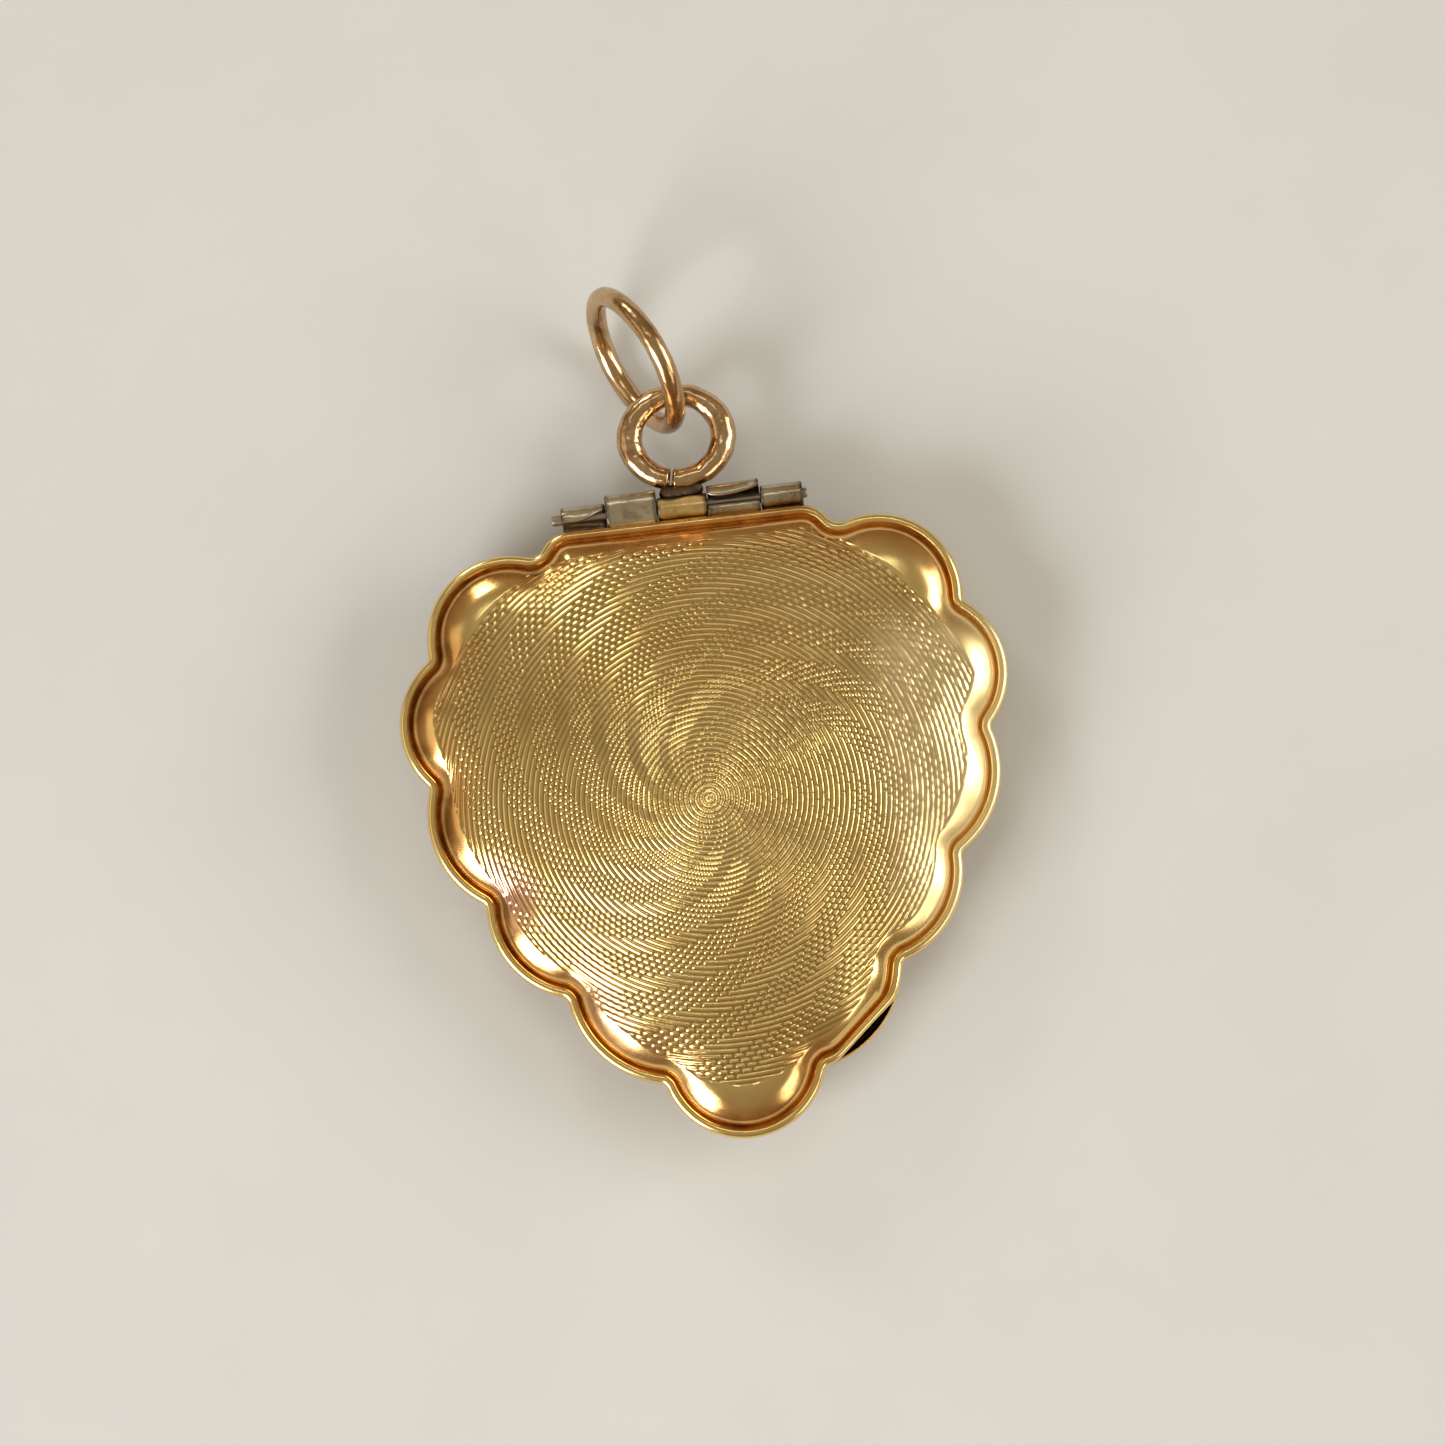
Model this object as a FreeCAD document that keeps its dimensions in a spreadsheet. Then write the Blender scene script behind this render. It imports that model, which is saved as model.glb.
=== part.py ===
import FreeCAD, Part

import math
import os

# A scalloped heart-shaped locket, lying closed on its back. Millimetres, +Z up (out of the
# engine-turned cover), +Y from the tip towards the hinge and its rings. The origin is the centre
# of the flat at the middle of the back, which is also the centre of the engine turning.

DIMS = {
    # Outline: six lobes on each side of the axis, each an arc about its own centre.
    "lobe_one_x": 7.42, "lobe_one_y": 7.15, "lobe_one_rad": 3.35,
    "lobe_two_x": 8.91, "lobe_two_y": 3.88, "lobe_two_rad": 3.32,
    "lobe_three_x": 7.46, "lobe_three_y": 0.12, "lobe_three_rad": 4.06,
    "lobe_four_x": 5.70, "lobe_four_y": -3.68, "lobe_four_rad": 3.87,
    "lobe_five_x": 2.39, "lobe_five_y": -6.96, "lobe_five_rad": 4.36,
    "lobe_tip_y": -10.43, "lobe_tip_rad": 3.32,
    "notch_rad": 0.35, "shoulder_notch_rad": 0.60,
    "shoulder_x": 4.60, "shoulder_rad": 1.40,
    "front_edge_y": 11.18, "back_edge_y": 10.83,
    # Rim and dome of each half, heights from the parting plane.
    "parting_z": 2.45, "cove_height": 0.42, "rim_height": 0.65,
    "land_width": 0.25, "dome_inset": 0.75, "dome_height": 2.45,
    "metal": 0.25, "cavity_inset": 1.00,
    # Nail gap under the cover's rim, on the lower right lobe.
    "nail_angle": -49.0, "nail_length": 2.20, "nail_height": 0.22, "nail_depth": 0.45,
    # Inner frames, snap band and photograph apertures.
    "frame_inset": 1.15, "frame_thick": 0.25, "back_frame_z": -0.45, "front_frame_z": 0.34,
    "band_inset": 1.06, "band_width": 0.24, "band_low": -0.20, "band_high": 0.30,
    "aperture_y": 0.60, "aperture_rad": 7.50, "fit_gap": 0.02,
    "bezel_wall": 0.46, "bezel_lip": 0.20, "bezel_depth": 0.55, "lip_thick": 0.10,
    "bezel_face": 0.03, "lens_thick": 0.20, "card_thick": 0.15,
    # Hinge.
    "axis_y": 11.70, "pin_rad": 0.21, "pin_left": -5.27, "pin_length": 10.32,
    "back_bore": 0.215, "front_bore": 0.25, "barrel_rad": 0.475,
    "roll_rad": 0.58, "roll_offset": 0.20,
    "curl_rad": 0.60, "curl_bore": 0.38, "curl_offset": 0.12,
    "curl_gap_low": -0.12, "curl_gap_high": 0.33,
    "web_thick": 0.30, "web_clear": 0.05,
    "first_left": -4.87, "first_right": -3.15,
    "second_left": -3.05, "second_right": -1.02,
    "third_left": -0.95, "third_right": 0.95,
    "fourth_left": 1.05, "fourth_right": 3.12,
    "fifth_left": 3.20, "fifth_right": 4.87,
    # Soldered ring and its foot, loose jump ring.
    "ring_x": 0.08, "ring_y": 14.52, "ring_half_width": 1.89, "ring_half_height": 1.71,
    "ring_wire": 0.48, "ring_seam": 0.08, "seam_x": -0.40,
    "foot_half": 0.80, "foot_low": 12.00, "foot_high": 12.55, "foot_thick": 0.60,
    "jump_rad": 2.84, "jump_wire": 0.41,
    "jump_x": -1.19, "jump_y": 17.69, "jump_z": 3.13,
    "jump_yaw": -155.1, "jump_tilt": 71.8,
}

LOBES = ("one", "two", "three", "four", "five")

# Dome sections from its foot to its flat: further inset of the outline, its scale about the
# origin, and the share of the dome's rise.
DOME = ((0.00, 1.000, 0.00), (0.08, 0.992, 0.26), (0.15, 0.972, 0.48), (0.15, 0.935, 0.68),
        (0.15, 0.880, 0.84), (0.15, 0.800, 0.94), (0.15, 0.500, 1.00))

doc = FreeCAD.newDocument("locket")
sheet = doc.addObject("Spreadsheet::Sheet", "sheet")
for row, (alias, value) in enumerate(DIMS.items(), start=1):
    sheet.set("A%d" % row, alias)
    sheet.set("B%d" % row, str(value))
    sheet.setAlias("B%d" % row, alias)
doc.recompute()

PARTS = []


def dim(alias):
    """A driving dimension, read back from the sheet."""
    return float(sheet.get(alias))


def vec(x, y, z=0.0):
    return FreeCAD.Vector(x, y, z)


def bind(obj, **expressions):
    """Bind properties of obj to expressions; bare names in them are sheet cells."""
    for prop, expression in expressions.items():
        obj.setExpression(prop.replace("__", "."), expression)


def keep(obj, name):
    """Name obj as a sub-part."""
    obj.Label = name
    PARTS.append((name, obj))
    return obj


def feature(name, shape):
    """A stamped piece whose form is a computed shape."""
    obj = doc.addObject("Part::Feature", name + "_shape")
    obj.Shape = shape
    obj.Placement = FreeCAD.Placement(vec(0, 0, dim("parting_z")), FreeCAD.Rotation())
    return keep(obj, name)


# ---------------------------------------------------------------- outline

def touching_centre(one, two, rad, outside):
    """Centre of the arc of radius rad that rounds the notch between two lobe circles."""
    (ax, ay, ar), (bx, by, br) = one, two
    ra, rb = ar + rad, br + rad
    gap = math.hypot(bx - ax, by - ay)
    along = (ra * ra - rb * rb + gap * gap) / (2 * gap)
    across = math.sqrt(ra * ra - along * along)
    ux, uy = (bx - ax) / gap, (by - ay) / gap
    foot = (ax + along * ux, ay + along * uy)
    sides = [(foot[0] - across * uy, foot[1] + across * ux),
             (foot[0] + across * uy, foot[1] - across * ux)]
    return max(sides, key=lambda p: math.hypot(p[0] - outside[0], p[1] - outside[1]))


def outline_circles(edge_y):
    """Circles of the right half, from the shoulder by the hinge round to the tip.

    Convex lobes and the concave notches between them alternate: (x, y, radius, convex).
    """
    shoulder = (dim("shoulder_x"), edge_y - dim("shoulder_rad"), dim("shoulder_rad"))
    lobes = [shoulder]
    lobes += [tuple(dim("lobe_%s_%s" % (name, key)) for key in ("x", "y", "rad")) for name in LOBES]
    lobes.append((0.0, dim("lobe_tip_y"), dim("lobe_tip_rad")))
    chain = []
    for index, lobe in enumerate(lobes):
        chain.append(lobe + (True,))
        if index + 1 < len(lobes):
            rad = dim("shoulder_notch_rad" if index == 0 else "notch_rad")
            x, y = touching_centre(lobe, lobes[index + 1], rad, (0.0, 0.0))
            chain.append((x, y, rad, False))
    return chain


def towards(start, end, distance):
    """The point at a distance from start on the way to end."""
    gap = math.hypot(end[0] - start[0], end[1] - start[1])
    return (start[0] + (end[0] - start[0]) * distance / gap,
            start[1] + (end[1] - start[1]) * distance / gap)


def arc_through(centre, rad, start, end, z, scale):
    """The short arc about centre from start to end, all scaled about the origin."""
    middle = ((start[0] + end[0]) / 2, (start[1] + end[1]) / 2)
    top = towards(centre, middle, rad)
    return Part.Arc(*[vec(scale * x, scale * y, z) for x, y in (start, top, end)])


def outline(inset, z, edge_y, scale=1.0):
    """Closed scalloped wire, an exact offset of the outline by inset, at height z."""
    chain = outline_circles(edge_y)
    joints = [(chain[0][0], edge_y - inset)]
    for this, following in zip(chain, chain[1:]):
        convex, other = (this, following) if this[3] else (following, this)
        joints.append(towards(convex[:2], other[:2], convex[2] - inset))
    right = []
    for this, start, end in zip(chain, joints, joints[1:]):
        rad = this[2] - inset if this[3] else this[2] + inset
        right.append((this[:2], rad, start, end))
    left = [((-c[0], c[1]), r, (-e[0], e[1]), (-s[0], s[1])) for c, r, s, e in reversed(right)]
    tip = chain[-1]
    tip_arc = ((0.0, tip[1]), tip[2] - inset, joints[-1], (-joints[-1][0], joints[-1][1]))
    corner_x, corner_y = scale * joints[0][0], scale * joints[0][1]
    edges = [Part.LineSegment(vec(-corner_x, corner_y, z), vec(corner_x, corner_y, z)).toShape()]
    for centre, rad, start, end in right + [tip_arc] + left:
        edges.append(arc_through(centre, rad, start, end, z, scale).toShape())
    return Part.Wire(edges)


def slab(inset, low, high, edge_y):
    """The outline, inset, as a plate from low to high."""
    return Part.Face(outline(inset, low, edge_y)).extrude(vec(0, 0, high - low))


def pillow(inset, base, top, edge_y):
    """Domed solid: lobed at its foot, flat at its middle."""
    sections = []
    for step, scale, share in DOME:
        sections.append(outline(inset + step, base + share * (top - base), edge_y, scale))
    return Part.makeLoft(sections, True, True)


def half_shell(edge_y):
    """One stamped half, rim downwards on the parting plane."""
    cove, rim = dim("cove_height"), dim("rim_height")
    shell = slab(0.0, 0.0, cove, edge_y)
    land = slab(0.0, cove, rim, edge_y).cut(slab(dim("land_width"), cove, rim, edge_y))
    dome = pillow(dim("dome_inset"), cove, dim("dome_height"), edge_y)
    metal = dim("metal")
    hollow = slab(dim("cavity_inset"), 0.0, cove - metal, edge_y)
    hollow = hollow.fuse(pillow(dim("cavity_inset"), cove - metal, dim("dome_height") - metal, edge_y))
    return shell.fuse([land, dome]).cut(hollow).removeSplitter()


# ---------------------------------------------------------------- shells, frames, snap band

def make_front_shell():
    shell = half_shell(dim("front_edge_y"))
    nail = Part.makeBox(2 * dim("nail_depth"), dim("nail_length"), dim("nail_height"),
                        vec(dim("lobe_five_rad") - dim("nail_depth"), -dim("nail_length") / 2, 0))
    nail.rotate(vec(0, 0, 0), vec(0, 0, 1), dim("nail_angle"))
    nail.translate(vec(dim("lobe_five_x"), dim("lobe_five_y"), 0))
    feature("front_shell", shell.cut(nail))


def make_back_shell():
    shell = half_shell(dim("back_edge_y"))
    shell = shell.mirror(vec(0, 0, 0), vec(0, 0, 1))
    feature("back_shell", shell)


def make_frame(name, low, edge_y):
    """Flat inner plate with a round aperture for the photograph's bezel."""
    plate = slab(dim("frame_inset"), low, low + dim("frame_thick"), edge_y)
    hole = Part.makeCylinder(dim("aperture_rad"), 2.0, vec(0, dim("aperture_y"), low - 1.0))
    feature(name, plate.cut(hole))


def make_snap_band():
    """Upstanding band of the back half that the cover's rim snaps over."""
    edge_y = dim("back_edge_y")
    low, high = dim("band_low"), dim("band_high")
    outer = slab(dim("band_inset"), low, high, edge_y)
    inner = slab(dim("band_inset") + dim("band_width"), low, high, edge_y)
    feature("snap_band", outer.cut(inner))


# ---------------------------------------------------------------- bezels, lenses, cards

def plane_of(body, role):
    return [f for f in body.Origin.OriginFeatures if f.Role == role][0]


def new_sketch(body, role, name):
    sketch = body.newObject("Sketcher::SketchObject", name)
    sketch.AttachmentSupport = [(plane_of(body, role), "")]
    sketch.MapMode = "FlatFace"
    return sketch


def add_polygon(sketch, corners):
    """Closed polygon; each corner is (x value, x expression, y value, y expression)."""
    import Sketcher
    count = len(corners)
    for index in range(count):
        start, end = corners[index], corners[(index + 1) % count]
        sketch.addGeometry(Part.LineSegment(vec(start[0], start[2]), vec(end[0], end[2])), False)
    for index in range(count):
        sketch.addConstraint(Sketcher.Constraint("Coincident", index, 2, (index + 1) % count, 1))
    for index, (x, x_expr, y, y_expr) in enumerate(corners):
        number = sketch.addConstraint(Sketcher.Constraint("DistanceX", -1, 1, index, 1, x))
        sketch.setExpression("Constraints[%d]" % number, x_expr)
        number = sketch.addConstraint(Sketcher.Constraint("DistanceY", -1, 1, index, 1, y))
        sketch.setExpression("Constraints[%d]" % number, y_expr)


def corner(x_expr, y_expr):
    """A sketch corner from two sums of sheet cells."""
    values = {alias: dim(alias) for alias in DIMS}
    def total(expression):
        result = 0.0
        for term in expression.replace("- ", "-").replace("+ ", "").split():
            sign = -1.0 if term.startswith("-") else 1.0
            term = term.lstrip("-")
            result += sign * (values[term] if term in values else float(term))
        return result
    def cells(expression):
        for alias in sorted(DIMS, key=len, reverse=True):
            expression = expression.replace(" %s " % alias, " sheet.%s " % alias)
        return expression.strip()
    return (total(x_expr), cells(" %s " % x_expr), total(y_expr), cells(" %s " % y_expr))


def place(obj, z_side):
    """Set a photograph piece on the aperture's centre, facing the parting plane."""
    turn = FreeCAD.Rotation(vec(1, 0, 0), 0 if z_side < 0 else 180)
    obj.Placement = FreeCAD.Placement(vec(0, dim("aperture_y"), dim("parting_z")), turn)


def make_bezel(name, side):
    """Photograph ring: a wall that fits the aperture and a lip that holds the lens."""
    body = doc.addObject("PartDesign::Body", name + "_body")
    section = new_sketch(body, "XZ_Plane", name + "_section")
    outer = "aperture_rad - fit_gap"
    wall = outer + " - bezel_wall"
    lip = wall + " - bezel_lip"
    add_polygon(section, [
        corner(lip, "0 - bezel_face"),
        corner(outer, "0 - bezel_face"),
        corner(outer, "0 - bezel_face - bezel_depth"),
        corner(wall, "0 - bezel_face - bezel_depth"),
        corner(wall, "0 - bezel_face - lip_thick"),
        corner(lip, "0 - bezel_face - lip_thick"),
    ])
    turn = body.newObject("PartDesign::Revolution", name + "_turned")
    turn.Profile = section
    turn.ReferenceAxis = (section, ["V_Axis"])
    turn.Angle = 360.0
    section.Visibility = False
    place(body, side)
    keep(body, name)


def make_disc(name, side, depth_expr, thick):
    """Thin disc held in the bezel."""
    disc = doc.addObject("Part::Cylinder", name + "_disc")
    bind(disc, Radius="sheet.aperture_rad - 2 * sheet.fit_gap - sheet.bezel_wall",
         Height="sheet.%s" % thick)
    place(disc, side)
    depth = sum(dim(alias) for alias in depth_expr) + dim(thick)
    disc.Placement = disc.Placement.multiply(FreeCAD.Placement(vec(0, 0, -depth), FreeCAD.Rotation()))
    keep(disc, name)


# ---------------------------------------------------------------- hinge

def rod(name, rad_expr, left, length_expr, offset="0"):
    """Cylinder along X at the hinge axis; offset moves it outwards."""
    cylinder = doc.addObject("Part::Cylinder", name)
    bind(cylinder, Radius=rad_expr, Height=length_expr)
    cylinder.Placement = FreeCAD.Placement(vec(0, 0, 0), FreeCAD.Rotation(vec(0, 1, 0), 90))
    bind(cylinder, Placement__Base__x=left, Placement__Base__y="sheet.axis_y + %s" % offset,
         Placement__Base__z="sheet.parting_z")
    return cylinder


def block(name, x, y, z, length, width, height):
    box = doc.addObject("Part::Box", name)
    bind(box, Length=length, Width=width, Height=height,
         Placement__Base__x=x, Placement__Base__y=y, Placement__Base__z=z)
    return box


def boolean(kind, name, base, tool):
    result = doc.addObject("Part::" + kind, name)
    result.Base = base
    result.Tool = tool
    return result


def make_knuckle(number, place_name, rad, bore, offset, front):
    """A hinge barrel with the web that joins it to its shell."""
    name = "knuckle_%d" % number
    left = "sheet.%s_left" % place_name
    span = "sheet.%s_right - sheet.%s_left" % (place_name, place_name)
    barrel = rod(name + "_barrel", "sheet.%s" % rad, left, span, offset)
    if front:
        edge, web_z = "sheet.front_edge_y", "sheet.parting_z + sheet.web_clear"
    else:
        edge, web_z = "sheet.back_edge_y", "sheet.parting_z - sheet.web_clear - sheet.web_thick"
    web = block(name + "_web", left, edge, web_z, span, "sheet.axis_y - " + edge, "sheet.web_thick")
    solid = boolean("Fuse", name + "_solid", barrel, web)
    hole = rod(name + "_hole", "sheet.%s" % bore, left, span,
               offset if bore == "curl_bore" else "0")
    result = boolean("Cut", name + "_bored", solid, hole)
    if bore == "curl_bore":
        gap = block(name + "_gap", left, "sheet.axis_y + sheet.curl_gap_low", "sheet.parting_z",
                    span, "sheet.curl_gap_high - sheet.curl_gap_low", "2 mm")
        result = boolean("Cut", name + "_open", result, gap)
    keep(result, name)


# ---------------------------------------------------------------- rings

def make_fixed_ring():
    """Round wire bent into a slightly flattened ring, its ends meeting at a seam."""
    import Sketcher
    body = doc.addObject("PartDesign::Body", "fixed_ring_body")
    path = new_sketch(body, "XY_Plane", "ring_path")
    wide, high = dim("ring_half_width"), dim("ring_half_height")
    path.addGeometry(Part.Ellipse(vec(wide, 0), vec(0, high), vec(0, 0)), False)
    path.exposeInternalGeometry(0)
    path.addConstraint(Sketcher.Constraint("Coincident", 0, 3, -1, 1))
    path.addConstraint(Sketcher.Constraint("Horizontal", 1))
    major = path.addConstraint(Sketcher.Constraint("Distance", 1, 1, 1, 2, 2 * wide))
    path.setExpression("Constraints[%d]" % major, "2 * sheet.ring_half_width")
    minor = path.addConstraint(Sketcher.Constraint("Distance", 2, 1, 2, 2, 2 * high))
    path.setExpression("Constraints[%d]" % minor, "2 * sheet.ring_half_height")
    wire = new_sketch(body, "XZ_Plane", "ring_wire")
    wire.addGeometry(Part.Circle(vec(wide, 0), vec(0, 0, 1), dim("ring_wire")), False)
    for kind, value, expression in (
            ("DistanceX", wide, "sheet.ring_half_width"), ("Radius", dim("ring_wire"), "sheet.ring_wire")):
        if kind == "Radius":
            number = wire.addConstraint(Sketcher.Constraint("Radius", 0, value))
        else:
            number = wire.addConstraint(Sketcher.Constraint("DistanceX", -1, 1, 0, 3, value))
        wire.setExpression("Constraints[%d]" % number, expression)
    wire.addConstraint(Sketcher.Constraint("PointOnObject", 0, 3, -1))
    doc.recompute()
    pipe = body.newObject("PartDesign::AdditivePipe", "ring_swept")
    pipe.Profile = wire
    pipe.Spine = (path, ["Edge1"])
    pipe.Mode = "Frenet"
    doc.recompute()
    slot = new_sketch(body, "XY_Plane", "seam_slot")
    add_polygon(slot, [
        corner("seam_x", "0 - ring_half_height - 1"),
        corner("seam_x + ring_seam", "0 - ring_half_height - 1"),
        corner("seam_x + ring_seam", "0 - ring_half_height + 1"),
        corner("seam_x", "0 - ring_half_height + 1"),
    ])
    seam = body.newObject("PartDesign::Pocket", "ring_seam_cut")
    seam.Profile = slot
    seam.Type = "ThroughAll"
    seam.Midplane = True
    body.Tip = seam
    body.Placement = FreeCAD.Placement(vec(dim("ring_x"), dim("ring_y"), dim("parting_z")),
                                       FreeCAD.Rotation())
    return keep(body, "fixed_ring")


def make_ring_foot(ring):
    """Solder between the middle knuckle and the ring, shaped to both."""
    lump = block("foot_lump", "-sheet.foot_half", "sheet.foot_low",
                 "sheet.parting_z - sheet.foot_thick / 2", "2 * sheet.foot_half",
                 "sheet.foot_high - sheet.foot_low", "sheet.foot_thick")
    barrel = rod("foot_saddle", "sheet.barrel_rad", "-2 * sheet.foot_half", "4 * sheet.foot_half")
    solder = boolean("Cut", "foot_on_barrel", lump, barrel)
    doc.recompute()
    foot = doc.addObject("Part::Feature", "ring_foot_shape")
    foot.Shape = max(solder.Shape.cut(ring.Shape).Solids, key=lambda s: s.Volume)
    keep(foot, "ring_foot")


def make_jump_ring():
    torus = doc.addObject("Part::Torus", "jump_torus")
    bind(torus, Radius1="sheet.jump_rad", Radius2="sheet.jump_wire")
    turn = FreeCAD.Rotation(vec(0, 0, 1), dim("jump_yaw"))
    turn = turn.multiply(FreeCAD.Rotation(vec(0, 1, 0), dim("jump_tilt")))
    torus.Placement = FreeCAD.Placement(vec(dim("jump_x"), dim("jump_y"), dim("jump_z")), turn)
    keep(torus, "jump_ring")


# ---------------------------------------------------------------- assembly

make_back_shell()
make_front_shell()
make_frame("back_frame", dim("back_frame_z"), dim("back_edge_y"))
make_frame("front_frame", dim("front_frame_z"), dim("back_edge_y"))
make_snap_band()
for half, half_side in (("back", -1), ("front", 1)):
    make_bezel(half + "_bezel", half_side)
    make_disc(half + "_lens", half_side, ("bezel_face", "lip_thick"), "lens_thick")
    make_disc(half + "_card", half_side, ("bezel_face", "lip_thick", "lens_thick"), "card_thick")
keep(rod("pin_rod", "sheet.pin_rad", "sheet.pin_left", "sheet.pin_length"), "hinge_pin")
make_knuckle(1, "first", "barrel_rad", "back_bore", "0", False)
make_knuckle(2, "second", "roll_rad", "front_bore", "sheet.roll_offset", True)
make_knuckle(3, "third", "barrel_rad", "back_bore", "0", False)
make_knuckle(4, "fourth", "curl_rad", "curl_bore", "sheet.curl_offset", True)
make_knuckle(5, "fifth", "barrel_rad", "back_bore", "0", False)
fixed_ring = make_fixed_ring()
doc.recompute()
make_ring_foot(fixed_ring)
make_jump_ring()
doc.recompute()

for item in doc.Objects:
    if "Invalid" in item.State or "Error" in item.State:
        raise RuntimeError("failed: %s %s" % (item.Name, item.State))

os.makedirs("parts", exist_ok=True)
for name, item in PARTS:
    shape = item.Shape
    if shape.isNull() or not shape.isValid() or len(shape.Solids) != 1:
        raise RuntimeError("bad shape: %s, %d solids" % (name, len(shape.Solids)))
    print("%-14s %8.3f mm3  x %6.2f %6.2f  y %6.2f %6.2f  z %6.2f %6.2f" % (
        name, shape.Volume, shape.BoundBox.XMin, shape.BoundBox.XMax, shape.BoundBox.YMin,
        shape.BoundBox.YMax, shape.BoundBox.ZMin, shape.BoundBox.ZMax))
    shape.exportStep("parts/%s.step" % name)
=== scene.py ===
import math

import bpy
import numpy as np
from mathutils import Matrix, Vector


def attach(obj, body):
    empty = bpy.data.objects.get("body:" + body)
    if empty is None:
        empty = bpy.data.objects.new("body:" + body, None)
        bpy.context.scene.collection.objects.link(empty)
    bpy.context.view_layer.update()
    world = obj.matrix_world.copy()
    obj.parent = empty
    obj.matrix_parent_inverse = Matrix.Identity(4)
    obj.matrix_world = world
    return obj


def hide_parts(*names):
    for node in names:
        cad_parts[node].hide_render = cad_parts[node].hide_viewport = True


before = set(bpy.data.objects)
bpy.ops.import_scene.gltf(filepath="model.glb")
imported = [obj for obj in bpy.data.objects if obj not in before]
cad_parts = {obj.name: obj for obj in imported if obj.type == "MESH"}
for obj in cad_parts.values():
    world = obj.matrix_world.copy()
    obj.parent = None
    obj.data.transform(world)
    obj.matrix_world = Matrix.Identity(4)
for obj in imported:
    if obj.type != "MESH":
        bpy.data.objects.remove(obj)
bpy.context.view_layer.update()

# A scalloped locket with an engine-turned cover, lying closed on its back. The frame is the CAD
# one: origin at the centre of the back's flat, +Y towards the hinge, +Z out of the cover.
# Measures in this file are millimetres until a mesh is made; Blender gets metres.

MM = 0.001
TAU = 2 * math.pi

# ---------------------------------------------------------------- outline, as in the CAD

# Lobes of the right half, from the hinge to the tip: (x, y, radius).
LOBES = ((7.42, 7.15, 3.35), (8.91, 3.88, 3.32), (7.46, 0.12, 4.06), (5.70, -3.68, 3.87),
         (2.39, -6.96, 4.36))
TIP_LOBE = (0.0, -10.43, 3.32)
NOTCH_RAD, SHOULDER_NOTCH_RAD = 0.35, 0.60
SHOULDER_X, SHOULDER_RAD = 4.60, 1.40
FRONT_EDGE_Y, BACK_EDGE_Y = 11.18, 10.83
PARTING_Z = 2.45
ARC_POINTS, EDGE_POINTS = 48, 160


def touching_centre(one, two, rad):
    """Centre of the arc of radius rad that rounds the notch between two lobe circles."""
    (ax, ay, ar), (bx, by, br) = one, two
    ra, rb = ar + rad, br + rad
    gap = math.hypot(bx - ax, by - ay)
    along = (ra * ra - rb * rb + gap * gap) / (2 * gap)
    across = math.sqrt(ra * ra - along * along)
    ux, uy = (bx - ax) / gap, (by - ay) / gap
    foot = (ax + along * ux, ay + along * uy)
    sides = [(foot[0] - across * uy, foot[1] + across * ux),
             (foot[0] + across * uy, foot[1] - across * ux)]
    return max(sides, key=lambda p: math.hypot(*p))


def outline_chain(edge_y):
    """Arcs of the right half from the hinge to the tip: (x, y, radius, convex)."""
    lobes = [(SHOULDER_X, edge_y - SHOULDER_RAD, SHOULDER_RAD), *LOBES, TIP_LOBE]
    chain = []
    for index, lobe in enumerate(lobes):
        chain.append((*lobe, True))
        if index + 1 < len(lobes):
            rad = SHOULDER_NOTCH_RAD if index == 0 else NOTCH_RAD
            chain.append((*touching_centre(lobe, lobes[index + 1], rad), rad, False))
    return chain


def half_arcs(edge_y, inset=0.0):
    """Arcs of the right half, inset: (centre, radius, start angle, swept angle)."""
    chain = outline_chain(edge_y)
    joints = [(chain[0][0], edge_y - inset)]
    for this, following in zip(chain, chain[1:]):
        convex, other = (this, following) if this[3] else (following, this)
        away = math.hypot(other[0] - convex[0], other[1] - convex[1])
        share = (convex[2] - inset) / away
        joints.append((convex[0] + (other[0] - convex[0]) * share,
                       convex[1] + (other[1] - convex[1]) * share))
    joints.append((0.0, TIP_LOBE[1] - TIP_LOBE[2] + inset))
    arcs = []
    for (x, y, rad, convex), start, end in zip(chain, joints, joints[1:]):
        first = math.atan2(start[1] - y, start[0] - x)
        last = math.atan2(end[1] - y, end[0] - x)
        swept = (last - first + math.pi) % TAU - math.pi
        arcs.append(((x, y), rad - inset if convex else rad + inset, first, swept))
    return arcs


def offset_polyline(inset, edge_y):
    """Closed polyline of the outline, inset."""
    right = []
    for centre, rad, first, swept in half_arcs(edge_y, inset):
        angle = first + swept * np.linspace(0, 1, ARC_POINTS, endpoint=False)
        right.append(np.column_stack([centre[0] + rad * np.cos(angle),
                                      centre[1] + rad * np.sin(angle)]))
    right.append(np.array([[0.0, TIP_LOBE[1] - TIP_LOBE[2] + inset]]))
    right = np.vstack(right)
    left = right[::-1][1:] * (-1, 1)
    edge = np.column_stack([np.linspace(-SHOULDER_X, SHOULDER_X, EDGE_POINTS)[1:-1],
                            np.full(EDGE_POINTS - 2, edge_y - inset)])
    return np.vstack([right, left, edge])


def polar_radius(points, centre, angles):
    """Distance from centre to a closed star-shaped polyline, along each angle."""
    x, y = points[:, 0] - centre[0], points[:, 1] - centre[1]
    return np.interp(angles, np.arctan2(y, x), np.hypot(x, y), period=TAU)


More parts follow.
